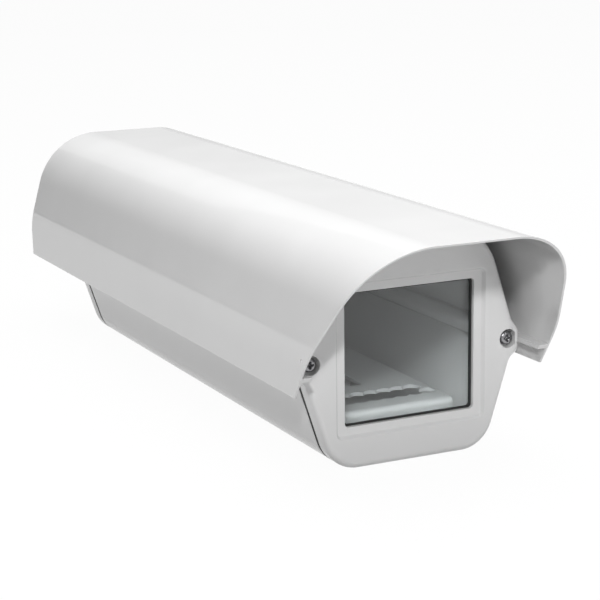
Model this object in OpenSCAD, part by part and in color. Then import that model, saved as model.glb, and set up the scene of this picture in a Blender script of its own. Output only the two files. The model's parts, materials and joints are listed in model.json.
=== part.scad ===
// Outdoor camera housing: an extruded aluminium body, closed by a glazed front bezel and a rear cap
// that each clamp a rubber gasket, under a sunshade that slides on two side rails of the body.
// Lengths are millimetres. The front faces -Y and +Z is up.
// The origin lies on the underside, at the centre of the four bracket holes.

/* [Body extrusion] */
// Length of the extruded body between its two gaskets
body_l = 332; // [290:1:420]
// Height of the body
body_h = 124; // [118:1:136]
// Width across the two waist edges, where the upper and lower flanks meet
waist_w = 132.6; // [128:0.2:144]
// Height of the waist edges above the underside
waist_z = 61; // [58:0.5:64]
// Lean of the upper and lower flanks from the vertical, in degrees
flank_tilt = 18; // [15:0.5:20]
// Radius of the two lower corners
lower_r = 20; // [16:0.5:22]
// Radius of the two upper corners
upper_r = 30; // [26:0.5:34]
// Wall thickness of the extrusion
wall_t = 2.5; // [2:0.1:3.2]
// Thickness of the flat floor land, which carries the tray and the bracket plate
floor_t = 3.5; // [3:0.1:5]
// Distance of each bracket hole centre line from the front face of the bezel
bracket_to_front = 180; // [150:1:200]

/* [Screw ports and side rails] */
// Distance of each screw port axis inboard of its waist edge
port_inset = 6.3; // [5.8:0.1:7]
// Drop of the screw port axes below the waist edges
port_drop = 1; // [0:0.1:2]
// Reach of the block round each screw port beyond the port's axis
port_reach = 7.7; // [7:0.1:8.5]
// Rise of a port block's upright side above the port's axis
block_rise = 4; // [3.5:0.1:5]
// Drop of a port block's upright side below the port's axis
block_drop = 7.4; // [7:0.1:8]
// Lean of a port block's upper shoulder from the vertical, in degrees
block_lean_up = 34.7; // [30:0.1:40]
// Lean of a port block's lower shoulder from the vertical, in degrees
block_lean_down = 52; // [45:0.5:58]
// Corner radius of the port blocks
port_block_r = 4; // [3.5:0.1:5]
// Radius of the round boss that stands into the body behind each block
port_boss_r = 5.5; // [4.5:0.1:6]
// Reach of the rail fins beyond the port block
fin_reach = 4.7; // [4.5:0.1:6]
// Thickness of the lower rail fin, which carries the lock screw
lower_fin_t = 3; // [2.4:0.1:3.5]
// Thickness of the upper rail fin
upper_fin_t = 2.2; // [1.6:0.1:2.6]

/* [Sunshade] */
// Thickness of the sunshade sheet
shade_t = 1.3; // [1:0.1:2.5]
// Length of the sunshade along its lower edges
shade_l = 427; // [415:1:480]
// Overhang of the lower front corners past the bezel
shade_lead = 10; // [0:0.5:25]
// Forward rake of the front edge from the vertical, in degrees
shade_rake = 33.3; // [0:0.1:40]
// Backward lean of the rear edge from the vertical, in degrees
shade_rear_lean = 3; // [0:0.1:12]
// Air gap between the body's top and the sunshade
shade_gap = 5.5; // [3:0.1:8]
// Gap between the rail fins and the inner face of the sunshade
shade_side_gap = 1.3; // [0.4:0.1:1.5]
// Radius of the sunshade's upper corners, outside
shade_r = 45.3; // [40:0.1:50]
// Lean of the sunshade flanks from the vertical, in degrees
shade_tilt = 16.5; // [14:0.5:19]
// Height of the knee, where the flanks meet the upright skirts, above the screw ports
knee_rise = 11.1; // [8:0.1:14]
// Radius of the knee, outside
knee_r = 60; // [30:1:80]
// Depth of the skirts below their inner ribs
skirt_h = 9.5; // [6:0.1:14]
// Thickness of the inner ribs that run in the rails
rib_t = 2.7; // [2.2:0.1:3]
// Drop of the rib's underside below the screw port axes
rib_drop = 3.5; // [3:0.1:4]
// Running gap between a rib and the fins
rib_gap = 0.3; // [0.2:0.05:0.5]
// Travel of the sunshade each way from its middle place
shade_travel = 30; // [10:1:50]
// Distance of the sunshade's lock screws before the body's rear end
lock_back = 60; // [50:1:120]
// Diameter of the small hole through the sunshade's left flank
pin_hole_d = 1.8; // [1:0.1:3]
// Distance of that hole behind the sunshade's front edge
pin_hole_back = 6.2; // [3:0.1:12]
// Drop of that hole below the knee
pin_hole_drop = 2.2; // [1:0.1:4]

/* [Front bezel] */
// Depth of the bezel casting
bezel_d = 10; // [9.5:0.1:12]
// Radius of the soft outer edge of the bezel and of the rear cap
edge_r = 3.5; // [2:0.1:3.5]
// Distance of the window's sides inboard of the waist edges
window_side = 27.05; // [26.3:0.05:32]
// Height of the window
window_h = 72.5; // [60:0.5:73]
// Height of the window's centre above the underside
window_z = 59.3; // [57:0.1:61]
// Corner radius of the window
window_r = 2; // [1:0.1:4]
// Width of the sunk border at the window's sides
border_x = 5.9; // [4:0.1:6.5]
// Width of the sunk border above and below the window
border_z = 5.5; // [4:0.1:6]
// Depth of the sunk border
border_d = 2.2; // [1:0.1:3]
// Wall of the casting round its hollow back
cast_t = 3.6; // [3:0.1:4]

/* [Window] */
// Thickness of the glass
glass_t = 4; // [3:0.1:4.3]
// Overlap of the glass behind the window's edge
glass_lap = 3; // [2:0.1:3.2]
// Thickness of the rubber seal before the glass
seal_t = 1.5; // [1:0.1:1.5]
// Width of the seal's edge that shows inside the window
seal_show = 1; // [0.5:0.1:1.5]
// Clearance round the glass in its pocket
glass_gap = 0.3; // [0.2:0.05:0.5]
// Width of the pocket's rim at the glass's sides
rim_x = 6; // [5.6:0.1:6.4]
// Width of the pocket's rim above and below the glass
rim_z = 3; // [2.5:0.1:3.2]
// Thickness of the sheet frame that holds the glass
retainer_t = 1.5; // [1:0.1:2]
// Spacing of the retainer screws up each side
retainer_pitch = 50; // [36:1:60]

/* [Gaskets and rear cap] */
// Thickness of each rubber gasket, as clamped
gasket_t = 3; // [2:0.1:3.5]
// Set-back of the gasket's edge from the outline
gasket_in = 0.2; // [0.1:0.1:1]
// Width of the gasket's ring
gasket_w = 3; // [2.5:0.1:3]
// Depth of the rear cap casting
cap_d = 11; // [10:0.1:14]
// Thickness of the rear cap's plate
cap_plate_t = 4; // [3:0.1:5]

/* [Screws] */
// Thread diameter of the bezel, cap and tray screws
screw_d = 4; // [3.5:0.1:4.2]
// Head diameter of the bezel and cap screws
head_d = 8; // [7:0.1:8.2]
// Head height of the bezel and cap screws
head_h = 3.1; // [2.4:0.1:3.2]
// Diameter of the counterbore round a screw head
counterbore_d = 10.4; // [9:0.1:10.8]
// Depth of the counterbore
counterbore_depth = 5; // [4.5:0.1:5.5]
// Thickness of the spring washers
spring_washer_t = 0.9; // [0.7:0.1:1.2]
// Reach of the bezel and cap screws into the body
screw_grip = 16; // [10:1:24]
// Thread diameter of the retainer and earth screws
small_screw_d = 3; // [2.5:0.1:3]
// Thread diameter of the sunshade lock screws
lock_screw_d = 3; // [2.5:0.1:3]

/* [Camera tray] */
// Height of the tray's top above the underside
tray_z = 25.7; // [24:0.1:30]
// Distance of the tray's sides inboard of the waist edges
tray_side = 30; // [29:0.5:34]
// Thickness of the tray sheet
tray_t = 2; // [1.5:0.1:2.5]
// Inside radius of the tray's folds
tray_fold_r = 1; // [0.8:0.1:3]
// Set-back of the tray behind the front face of the bezel
tray_back = 20; // [18:0.5:30]
// Clearance between the tray's rear leg and the rear cap's gasket
tray_rear_gap = 28; // [20:1:50]
// Length of the folded feet
foot_l = 15; // [13:0.5:20]
// Distance of each foot's side inboard of the tray's side
foot_side = 6.3; // [5:0.1:9]
// Distance of the foot screws inboard of the foot's sides
foot_screw_side = 8; // [6.5:0.5:11]
// Diameter of the punch that nibbled the cable opening
punch_d = 10; // [8:0.5:12]
// Step between two strokes of the punch
punch_step = 8.4; // [6:0.1:9]
// Metal left between the last stroke of the punch and the tray's side
punch_edge = 1; // [0.8:0.1:8]
// Length of the cable opening along the housing
punch_l = 20; // [16:0.5:24]
// Distance of the cable opening's centre behind the tray's front
punch_back = 23.5; // [20:0.5:26]
// Width of the camera slot
slot_w = 10; // [8.5:0.1:12]
// Start of the camera slot behind the tray's front
slot_start = 46; // [44:1:60]
// Length of the camera slot
slot_l = 180; // [120:1:200]

/* [Camera screw] */
// Thread diameter of the camera screw, a quarter of an inch
camera_screw_d = 6.35; // [5:0.05:6.5]
// Height of the screw's thread above the washer
camera_screw_up = 6; // [4:0.5:9]
// Diameter of the screw's knurled head
knob_d = 20; // [16:0.5:24]
// Height of the screw's knurled head
knob_h = 7; // [5:0.5:8]
// Diameter of the bush flange and of the top washer
bush_d = 16; // [14:0.5:18]
// Thickness of the bush flange
bush_t = 1.5; // [1:0.1:2]
// Thickness of the top washer
top_washer_t = 1.2; // [0.8:0.1:2]
// Number of grip flutes round the knurled head
knob_flutes = 16; // [10:1:20]

/* [Bracket plate] */
// Distance of the bracket plate's sides inboard of the floor land's edges
plate_side = 2.95; // [2:0.05:5]
// Length of the bracket plate
plate_l = 110; // [100:1:140]
// Thickness of the bracket plate
plate_t = 6; // [4:0.5:6]
// Spacing of the bracket holes across the housing
bracket_x = 40; // [34:1:42]
// Spacing of the bracket holes along the housing
bracket_y = 70; // [50:1:80]
// Diameter of the tapped bracket holes
bracket_hole_d = 5; // [4:0.1:5.5]
// Diameter of the plate's round spigots, which carry those holes down through the floor
spigot_d = 10; // [9:0.5:12]
// Spacing of the two screws that hold the bracket plate
plate_screw_y = 96; // [90:1:100]

/* [Cable glands] */
// Thread diameter of the glands
gland_d = 20; // [16:0.5:20]
// Width across flats of the gland nuts
gland_flats = 24; // [22:0.5:25]
// Spacing of the three cable entries
gland_pitch = 32; // [30:0.5:33]
// Height of the cable entries above the underside
gland_z = 44; // [36:0.5:60]
// Thickness of the gland's hexagon flange
gland_flange_t = 5; // [4:0.5:6]
// Length of the gland's outer neck
gland_neck_l = 9; // [7:0.5:11]
// Length of the cap nut
gland_nut_l = 14; // [12:0.5:16]
// Bore of the gland's rubber seal
gland_bore_d = 8; // [6:0.5:10]
// Thickness of the locknuts
locknut_t = 5; // [4:0.5:6]
// Thickness of the face washers
face_washer_t = 1.5; // [1:0.1:2]

/* [Hidden] */
$fn = 64;

eps = 0.01;
// Clearance of a thread in its tapped hole, on the radius
thread_gap = 0.05;
// Clearance of a shank in a plain hole, on the radius
shank_gap = 0.25;
// Number of straight pieces in each rounded corner of an outline
corner_steps = 14;
// Number of steps round a soft edge
edge_steps = 6;

// Places along the housing
bezel_y = -bracket_to_front;
gasket_y = bezel_y + bezel_d;
body_y = gasket_y + gasket_t;
body_end_y = body_y + body_l;
cap_y = body_end_y + gasket_t;
cap_end_y = cap_y + cap_d;

// Screw ports
port_x = waist_w / 2 - port_inset;
port_z = waist_z - port_drop;
port_r = screw_d / 2 + thread_gap;
hole_r = screw_d / 2 + shank_gap;
block_x = port_x + port_reach;
block_tail = 12;
front_seat_y = bezel_y + counterbore_depth - spring_washer_t;
rear_seat_y = cap_end_y - counterbore_depth + spring_washer_t;

// Side rails and the ribs that run in them
fin_x = block_x + fin_reach;
rib_z = port_z - rib_drop;
rib_in = block_x + rib_gap * 2;
lower_fin_z = rib_z - rib_gap - lower_fin_t;
upper_fin_z = rib_z + rib_t + rib_gap;

// Sunshade outline
shade_x = fin_x + shade_side_gap + shade_t;
shade_top = body_h + shade_gap + shade_t;
shade_low = rib_z - skirt_h;
knee_z = port_z + knee_rise;
shade_cz = shade_top - shade_r;
shade_cx = (shade_x * cos(shade_tilt) + knee_z * sin(shade_tilt) - shade_r
    - shade_cz * sin(shade_tilt)) / cos(shade_tilt);
shade_front_y = bezel_y - shade_lead;
shade_rear_y = shade_front_y + shade_l;
pin_hole_z = knee_z - pin_hole_drop;
pin_hole_y = shade_front_y - (pin_hole_z - shade_low) * tan(shade_rake) + pin_hole_back;

// Sunshade lock screws, and the slots in the ribs that limit the travel
lock_y = body_end_y - lock_back;
lock_x = (block_x + fin_x) / 2;
lock_tip_r = 1;
lock_tip_l = 1.2;
lock_slot_depth = lock_tip_l + 2 * rib_gap;

// Body outline
lower_c = [(waist_w / 2 * cos(flank_tilt) - waist_z * sin(flank_tilt) - lower_r
    + lower_r * sin(flank_tilt)) / cos(flank_tilt), lower_r];
upper_c = [(waist_w / 2 * cos(flank_tilt) + waist_z * sin(flank_tilt) - upper_r
    - (body_h - upper_r) * sin(flank_tilt)) / cos(flank_tilt), body_h - upper_r];

// Window
window_w = waist_w - 2 * window_side;
lip_y = gasket_y - glass_t - seal_t;
glass_y = lip_y + seal_t;
glass_w = window_w + 2 * glass_lap;
glass_h = window_h + 2 * glass_lap;
pocket_w = glass_w + 2 * glass_gap;
pocket_h = glass_h + 2 * glass_gap;
rim_w = pocket_w + 2 * rim_x;
rim_h = pocket_h + 2 * rim_z;
retainer_screw_x = pocket_w / 2 + rim_x / 2;
small_r = small_screw_d / 2 + thread_gap;
small_head_d = small_screw_d * 1.8;
small_head_h = small_screw_d * 0.7;

// Camera tray
tray_w = waist_w - 2 * tray_side;
foot_w = tray_w - 2 * foot_side;
foot_pitch = foot_w - 2 * foot_screw_side;
punch_count = floor((tray_w - 2 * punch_edge - punch_d) / punch_step - 0.5) + 1;
tray_y = bezel_y + tray_back;
tray_end_y = body_end_y - tray_rear_gap;
foot_hole_y = foot_l / 2 + tray_t;
foot_notch_up = 3;
csk_h = 2.2;
csk_ratio = 0.95;
nut_h = 3.2;
nut_flats = 7;

// Camera slot and screw
slot_y0 = tray_y + slot_start;
slot_y1 = slot_y0 + slot_l;
bush_y = (slot_y0 + slot_y1) / 2;
bush_gap = 0.2;
flute_r = 1.4;
flute_out = 0.6;

// Bracket plate
plate_w = 2 * (lower_c.x - plate_side);
plate_corner_r = plate_side + 1;

// Cable glands
gland_r = gland_d / 2;
gland_thread_r = gland_r - 0.1;
neck_r = gland_r - 1;
gland_wall = 2;
gland_seal_r = neck_r - gland_wall;
gland_y = cap_end_y + face_washer_t;
gland_nut_y = gland_y + gland_flange_t + 0.5;
gland_tail = cap_plate_t + face_washer_t + locknut_t + 1;
gland_seal_l = gland_neck_l + 1;
entry_x = [-gland_pitch, 0, gland_pitch];
plug_head_t = 4;
plug_slot_w = 2;
plug_slot_depth = 1.5;

// Washers, bosses and small clearances
washer_gap = 0.15;
washer_in = 0.2;
washer_cut = 1;
earth_washer_t = 0.8;
earth_washer_r = small_screw_d * 1.2;
earth_notch_r = 0.5;
earth_side = 10;
earth_back = 18;
spigot_gap = 0.15;
cast_boss_r = counterbore_d / 2 + 2;
pocket_corner_r = 1;
small_screw_l = 5;
camera_hole_r = camera_screw_d / 2 + 0.08;

// Point at angle a on a circle about c
function polar(c, r, a) = c + r * [cos(a), sin(a)];

// Points of an arc about c from angle a0 to a1
function arc(c, r, a0, a1, n) = [for (i = [0:n]) polar(c, r, a0 + (a1 - a0) * i / n)];

// A list in the opposite order
function reversed(p) = [for (k = [len(p) - 1:-1:0]) p[k]];

// A right half outline followed by its mirror image
function both_sides(p) = concat(p, [for (k = [len(p) - 1:-1:0]) [-p[k].x, p[k].y]]);

// Right half of the body outline, set in by d
function body_half(d) = concat(
    arc(lower_c, lower_r - d, -90, -flank_tilt, corner_steps),
    [[waist_w / 2 - d / cos(flank_tilt), waist_z]],
    arc(upper_c, upper_r - d, flank_tilt, 90, corner_steps));

// Right port block, set in by d: an upright side between two shoulders that end inside the body
function block_half(d) =
    let (r = max(port_block_r - d, 0.3),
        low = [block_x - port_block_r, port_z - block_drop + port_block_r * tan(block_lean_down / 2)],
        high = [block_x - port_block_r, port_z + block_rise - port_block_r * tan(block_lean_up / 2)])
    concat(
        [polar(low, r, -block_lean_down) + polar([0, 0], block_tail, -90 - block_lean_down)],
        arc(low, r, -block_lean_down, 0, edge_steps),
        arc(high, r, 0, block_lean_up, edge_steps),
        [polar(high, r, block_lean_up) + polar([0, 0], block_tail, 90 + block_lean_up)]);

// Right half of the sunshade outline, set in by d, from its skirt and the given points up
function shade_half(d, points) = concat(
    [[shade_x - d, shade_low]],
    points,
    arc([shade_x - knee_r, knee_z - knee_r * tan(shade_tilt / 2)], knee_r - d, 0, shade_tilt, edge_steps),
    arc([shade_cx, shade_cz], shade_r - d, shade_tilt, 90, 2 * corner_steps));

// Rounded rectangle about [x, z]
function rounded(x, z, w, h, r) = concat(
    arc([x + w / 2 - r, z + h / 2 - r], r, 0, 90, 6),
    arc([x - w / 2 + r, z + h / 2 - r], r, 90, 180, 6),
    arc([x - w / 2 + r, z - h / 2 + r], r, 180, 270, 6),
    arc([x + w / 2 - r, z - h / 2 + r], r, 270, 360, 6));

// Extrudes an outline drawn in X and Z from y0 to y1
module along(y0, y1) {
    translate([0, y1, 0]) rotate([90, 0, 0]) linear_extrude(y1 - y0) children();
}

// Rod along Y from y0, centred on [x, z]
module rod_y(x, y0, z, r, l) {
    translate([x, y0, z]) rotate([-90, 0, 0]) cylinder(h = l, r = r);
}

// Hexagonal rod along Y from y0, by its width across flats
module hex_y(x, y0, z, flats, l) {
    translate([x, y0, z]) rotate([-90, 0, 0]) cylinder(h = l, r = flats / 2 / cos(30), $fn = 6);
}

module body_outline(d) {
    polygon(both_sides(body_half(d)));
}

module port_block(s, d) {
    right = block_half(d);
    polygon(s > 0 ? right : reversed([for (p = right) [-p.x, p.y]]));
}

module port_blocks(d) {
    for (s = [-1, 1]) port_block(s, d);
}

// Places its child at both screw ports of an outline drawn in X and Z
module at_ports() {
    for (s = [-1, 1]) translate([s * port_x, port_z]) children();
}

// Repeats its child on the other side of the housing
module on_both_sides() {
    children();
    mirror([1, 0, 0]) children();
}

// Cross recess along Z, cut down from z = 0
module cross_recess(size, depth) {
    for (a = [0, 90]) {
        rotate(a) translate([-size / 2, -size / 8, -depth]) cube([size, size / 4, depth + eps]);
    }
    translate([0, 0, -depth]) cylinder(h = depth + eps, r = size / 5);
}

// Pan head screw along Z: the head's seat lies at z = 0 and the shank points down
module pan_screw(head_d, head_h, d, l) {
    difference() {
        union() {
            rotate_extrude() polygon(concat([[0, 0], [head_d / 2, 0]],
                arc([head_d / 2 - head_h * 0.6, head_h * 0.4], head_h * 0.6, 0, 90, 6), [[0, head_h]]));
            translate([0, 0, -l]) cylinder(h = l + eps, r = d / 2);
        }
        translate([0, 0, head_h]) cross_recess(head_d * 0.56, head_h * 0.55);
    }
}

// Countersunk screw along Z: the head's face lies at z = 0 and the shank points up
module countersunk_screw(d, l) {
    difference() {
        union() {
            cylinder(h = csk_h, r1 = d * csk_ratio, r2 = d / 2);
            cylinder(h = l, r = d / 2);
        }
        rotate([180, 0, 0]) cross_recess(d, csk_h * 0.6);
    }
}

// Hole for a countersunk screw that enters from below, through a wall of thickness t
module countersunk_hole(d, t) {
    translate([0, 0, -eps])
        cylinder(h = csk_h + eps, r1 = d * csk_ratio + washer_in, r2 = d / 2 + shank_gap);
    translate([0, 0, -eps]) cylinder(h = t + 2 * eps, r = d / 2 + shank_gap);
}

// Places of the tray's screws on the floor
module at_tray_screws() {
    for (x = [-foot_pitch / 2, foot_pitch / 2]) {
        for (y = [tray_y + foot_hole_y, tray_end_y - foot_hole_y]) translate([x, y, 0]) children();
    }
}

module at_plate_screws() {
    for (s = [-1, 1]) translate([0, s * plate_screw_y / 2, 0]) children();
}

module at_bracket_holes() {
    for (x = [-bracket_x / 2, bracket_x / 2]) {
        for (y = [-bracket_y / 2, bracket_y / 2]) translate([x, y, 0]) children();
    }
}

module at_lock_screws() {
    for (s = [-1, 1]) translate([s * lock_x, lock_y, 0]) children();
}

// Cross-section of the extrusion: shell, floor land, screw ports and rail fins
module body_section() {
    difference() {
        union() {
            difference() {
                union() {
                    body_outline(0);
                    port_blocks(0);
                }
                body_outline(wall_t);
            }
            translate([-lower_c.x, wall_t / 2]) square([2 * lower_c.x, floor_t - wall_t / 2]);
            at_ports() circle(port_boss_r);
            on_both_sides() {
                translate([port_x, lower_fin_z]) square([fin_x - port_x, lower_fin_t]);
                translate([port_x, upper_fin_z]) square([fin_x - port_x, upper_fin_t]);
            }
        }
        at_ports() circle(port_r);
    }
}

module body_shell() {
    color("white") difference() {
        along(body_y, body_end_y) body_section();
        at_tray_screws() countersunk_hole(screw_d, floor_t);
        at_plate_screws() countersunk_hole(screw_d, floor_t);
        at_bracket_holes() translate([0, 0, -eps])
            cylinder(h = floor_t + 2 * eps, r = spigot_d / 2 + spigot_gap);
        at_lock_screws() translate([0, 0, lower_fin_z - eps])
            cylinder(h = lower_fin_t + 2 * eps, r = lock_screw_d / 2 + thread_gap);
    }
}

// Ring of rubber that follows the extrusion's section, with a pad round each screw
module gasket(y0) {
    along(y0, y0 + gasket_t) difference() {
        union() {
            difference() {
                union() {
                    body_outline(gasket_in);
                    port_blocks(gasket_in);
                }
                body_outline(gasket_in + gasket_w);
            }
            at_ports() circle(port_boss_r);
        }
        at_ports() circle(hole_r);
    }
}

module front_gasket() {
    color("#202020") gasket(gasket_y);
}

module rear_gasket() {
    color("#202020") gasket(body_end_y);
}

// Hulls an outline that grows by $inset behind a face, so that the face's edge is round
module soft_hull(face_y, inward, depth) {
    hull() for (k = [0:edge_steps]) {
        $inset = edge_r * (1 - sin(90 * k / edge_steps));
        y = face_y + inward * edge_r * (1 - cos(90 * k / edge_steps));
        back_y = k < edge_steps ? y + inward * eps : face_y + inward * depth;
        along(min(y, back_y), max(y, back_y)) children();
    }
}

// Cast end plate with soft edges, before its holes are cut
module end_plate(face_y, inward, depth) {
    soft_hull(face_y, inward, depth) body_outline($inset);
    for (s = [-1, 1]) soft_hull(face_y, inward, depth) port_block(s, $inset);
}

// Outline of an end plate's hollow back, which leaves its wall and its screw bosses
module hollow_outline() {
    difference() {
        body_outline(cast_t);
        at_ports() circle(cast_boss_r);
    }
}

// Outline about the window's centre
module window_outline(w, h, r) {
    polygon(rounded(0, window_z, w, h, r));
}

// Screw holes of the glass retainer, from y0, by radius and length
module retainer_holes(y0, r, l) {
    for (sx = [-1, 1]) {
        for (sz = [-1, 1]) rod_y(sx * retainer_screw_x, y0, window_z + sz * retainer_pitch / 2, r, l);
    }
}

module front_bezel() {
    color("white") difference() {
        end_plate(bezel_y, 1, bezel_d);
        along(bezel_y - eps, gasket_y + eps) window_outline(window_w, window_h, window_r);
        along(bezel_y - eps, bezel_y + border_d)
            window_outline(window_w + 2 * border_x, window_h + 2 * border_z, window_r + 1);
        along(lip_y, gasket_y + eps) window_outline(pocket_w, pocket_h, pocket_corner_r);
        along(bezel_y + cast_t, gasket_y + eps) difference() {
            hollow_outline();
            window_outline(rim_w, rim_h, window_r);
        }
        for (s = [-1, 1]) {
            rod_y(s * port_x, bezel_y - eps, port_z, counterbore_d / 2, counterbore_depth + eps);
            rod_y(s * port_x, bezel_y, port_z, hole_r, bezel_d + eps);
        }
        retainer_holes(gasket_y - small_screw_l, small_r, small_screw_l + eps);
    }
}

module window_seal() {
    color("#151515") along(lip_y, glass_y) difference() {
        window_outline(glass_w, glass_h, pocket_corner_r);
        window_outline(window_w - 2 * seal_show, window_h - 2 * seal_show, window_r);
    }
}

module window_glass() {
    color([0.75, 0.82, 0.84, 0.35])
        along(glass_y, gasket_y) window_outline(glass_w, glass_h, pocket_corner_r);
}

module window_retainer() {
    color("silver") difference() {
        along(gasket_y, gasket_y + retainer_t) difference() {
            window_outline(rim_w - glass_gap, rim_h - glass_gap, window_r);
            window_outline(window_w + glass_lap, window_h + glass_lap, window_r);
        }
        retainer_holes(gasket_y - eps, small_screw_d / 2 + shank_gap, retainer_t + 2 * eps);
    }
}

module retainer_screws() {
    color("silver") for (sx = [-1, 1]) {
        for (sz = [-1, 1]) {
            translate([sx * retainer_screw_x, gasket_y + retainer_t, window_z + sz * retainer_pitch / 2])
                rotate([-90, 0, 0]) pan_screw(small_head_d, small_head_h, small_screw_d, small_screw_l);
        }
    }
}

// Spring washer along Y from y0: a ring with one slanted cut
module spring_washer(x, y0, z) {
    difference() {
        rod_y(x, y0, z, head_d / 2 - washer_in, spring_washer_t);
        rod_y(x, y0 - eps, z, screw_d / 2 + washer_gap, spring_washer_t + 2 * eps);
        translate([x, y0 + spring_washer_t / 2, z + head_d / 2]) rotate([0, 0, 20])
            cube([washer_cut, 3 * spring_washer_t, head_d], center = true);
    }
}

module bezel_screws() {
    color("silver") for (s = [-1, 1]) {
        translate([s * port_x, front_seat_y, port_z]) rotate([90, 0, 0])
            pan_screw(head_d, head_h, screw_d, body_y + screw_grip - front_seat_y);
    }
}

module bezel_spring_washers() {
    color("silver") for (s = [-1, 1]) spring_washer(s * port_x, front_seat_y, port_z);
}

module rear_cap_screws() {
    color("silver") for (s = [-1, 1]) {
        translate([s * port_x, rear_seat_y, port_z]) rotate([-90, 0, 0])
            pan_screw(head_d, head_h, screw_d, rear_seat_y - body_end_y + screw_grip);
    }
}

module rear_spring_washers() {
    color("silver") for (s = [-1, 1]) {
        spring_washer(s * port_x, rear_seat_y - spring_washer_t, port_z);
    }
}

module rear_cap() {
    color("white") difference() {
        end_plate(cap_end_y, -1, cap_d);
        along(cap_y - eps, cap_end_y - cap_plate_t) hollow_outline();
        for (s = [-1, 1]) {
            rod_y(s * port_x, rear_seat_y - spring_washer_t, port_z, counterbore_d / 2,
                counterbore_depth + eps);
            rod_y(s * port_x, cap_y - eps, port_z, hole_r, cap_d + 2 * eps);
        }
        for (x = entry_x) rod_y(x, cap_y, gland_z, gland_r, cap_d + eps);
    }
}

// Cross-section of the sunshade: sheet, skirts and the two ribs
module shade_section() {
    wall_x = shade_x - shade_t;
    rib = [[wall_x, rib_z], [rib_in, rib_z], [rib_in, rib_z + rib_t], [wall_x, rib_z + rib_t]];
    polygon(concat(both_sides(shade_half(0, [])), reversed(both_sides(shade_half(shade_t, rib)))));
}

// Side view of the sunshade's length, with its raked front and leaning rear
module shade_side_view() {
    z0 = shade_low - 1;
    z1 = shade_top + 1;
    polygon([
        [shade_front_y - (z0 - shade_low) * tan(shade_rake), z0],
        [shade_rear_y + (z0 - shade_low) * tan(shade_rear_lean), z0],
        [shade_rear_y + (z1 - shade_low) * tan(shade_rear_lean), z1],
        [shade_front_y - (z1 - shade_low) * tan(shade_rake), z1]]);
}

module sunshade() {
    slot_half = shade_travel + lock_tip_r + rib_gap;
    reach = (shade_top - shade_low + 2) * (tan(shade_rake) + tan(shade_rear_lean));
    color("white") difference() {
        intersection() {
            along(shade_front_y - reach, shade_rear_y + reach) shade_section();
            translate([-shade_x - 1, 0, 0]) rotate([90, 0, 90])
                linear_extrude(2 * shade_x + 2) shade_side_view();
        }
        on_both_sides() translate([rib_in - eps, lock_y - slot_half, rib_z - eps])
            cube([shade_x - shade_t - rib_gap - rib_in, 2 * slot_half, lock_slot_depth + eps]);
        translate([-shade_x - eps, pin_hole_y, pin_hole_z]) rotate([0, 90, 0])
            cylinder(h = shade_t + 1, r = pin_hole_d / 2);
    }
}

// Set screw in each lower fin, whose tip runs in the slot of the rib above it
module shade_lock_screws() {
    tip_z = rib_z - rib_gap;
    color("dimgray") at_lock_screws() difference() {
        union() {
            translate([0, 0, lower_fin_z - 1]) cylinder(h = lower_fin_t + 1, r = lock_screw_d / 2);
            translate([0, 0, tip_z - eps]) cylinder(h = rib_gap + lock_tip_l, r = lock_tip_r);
        }
        translate([0, 0, lower_fin_z - 1 - eps]) cylinder(h = 2, r = lock_screw_d / 4, $fn = 6);
    }
}

// Side view of the folded tray: a top plate, two legs and two feet turned inward
module tray_side_view() {
    ro = tray_fold_r + tray_t;
    corners = [
        [[tray_y + ro, floor_t + ro], 270, 180], [[tray_y + ro, tray_z - ro], 180, 90],
        [[tray_end_y - ro, tray_z - ro], 90, 0], [[tray_end_y - ro, floor_t + ro], 0, -90]];
    polygon(concat(
        [[tray_y + foot_l, floor_t]],
        [for (c = corners) each arc(c[0], ro, c[1], c[2], 6)],
        [[tray_end_y - foot_l, floor_t], [tray_end_y - foot_l, floor_t + tray_t]],
        [for (k = [3:-1:0]) each arc(corners[k][0], tray_fold_r, corners[k][2], corners[k][1], 6)],
        [[tray_y + foot_l, floor_t + tray_t]]));
}

// Opening nibbled across the tray: two rows of overlapping round strokes, the rear row half a step
// to the left of the front one, and the strip between them
module nibbled_opening() {
    right = tray_w / 2 - punch_edge - punch_d / 2;
    left = right - (punch_count - 1) * punch_step;
    shift = punch_step / 2;
    half = (punch_l - punch_d) / 2;
    for (x = [left:punch_step:right + eps]) {
        translate([x, -half]) circle(punch_d / 2);
        translate([x - shift, half]) circle(punch_d / 2);
    }
    polygon([[left, -half], [right, -half], [right - shift, half], [left - shift, half]]);
}

module camera_tray() {
    notch_z = floor_t + tray_t + tray_fold_r + foot_notch_up;
    color("lightgray") difference() {
        translate([-tray_w / 2, 0, 0]) rotate([90, 0, 90]) linear_extrude(tray_w) tray_side_view();
        on_both_sides() translate([foot_w / 2, tray_y - 1, 0])
            cube([tray_w, tray_end_y - tray_y + 2, notch_z]);
        translate([0, tray_y + punch_back, tray_z - tray_t - eps])
            linear_extrude(tray_t + 2 * eps) nibbled_opening();
        translate([0, 0, tray_z - tray_t - eps]) linear_extrude(tray_t + 2 * eps)
            polygon(rounded(0, (slot_y0 + slot_y1) / 2, slot_w, slot_l, slot_w / 2 - eps));
        at_tray_screws() cylinder(h = floor_t + tray_t + 1, r = hole_r);
        at_earth_screw() translate([0, 0, -tray_t - eps]) cylinder(h = tray_t + 2 * eps, r = small_r);
    }
}

module tray_screws() {
    color("silver") at_tray_screws()
        countersunk_screw(screw_d, floor_t + tray_t + nut_h + 1);
}

module tray_nuts() {
    color("silver") at_tray_screws() translate([0, 0, floor_t + tray_t]) difference() {
        cylinder(h = nut_h, r = nut_flats / 2 / cos(30), $fn = 6);
        translate([0, 0, -eps]) cylinder(h = nut_h + 2 * eps, r = port_r);
    }
}

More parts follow.
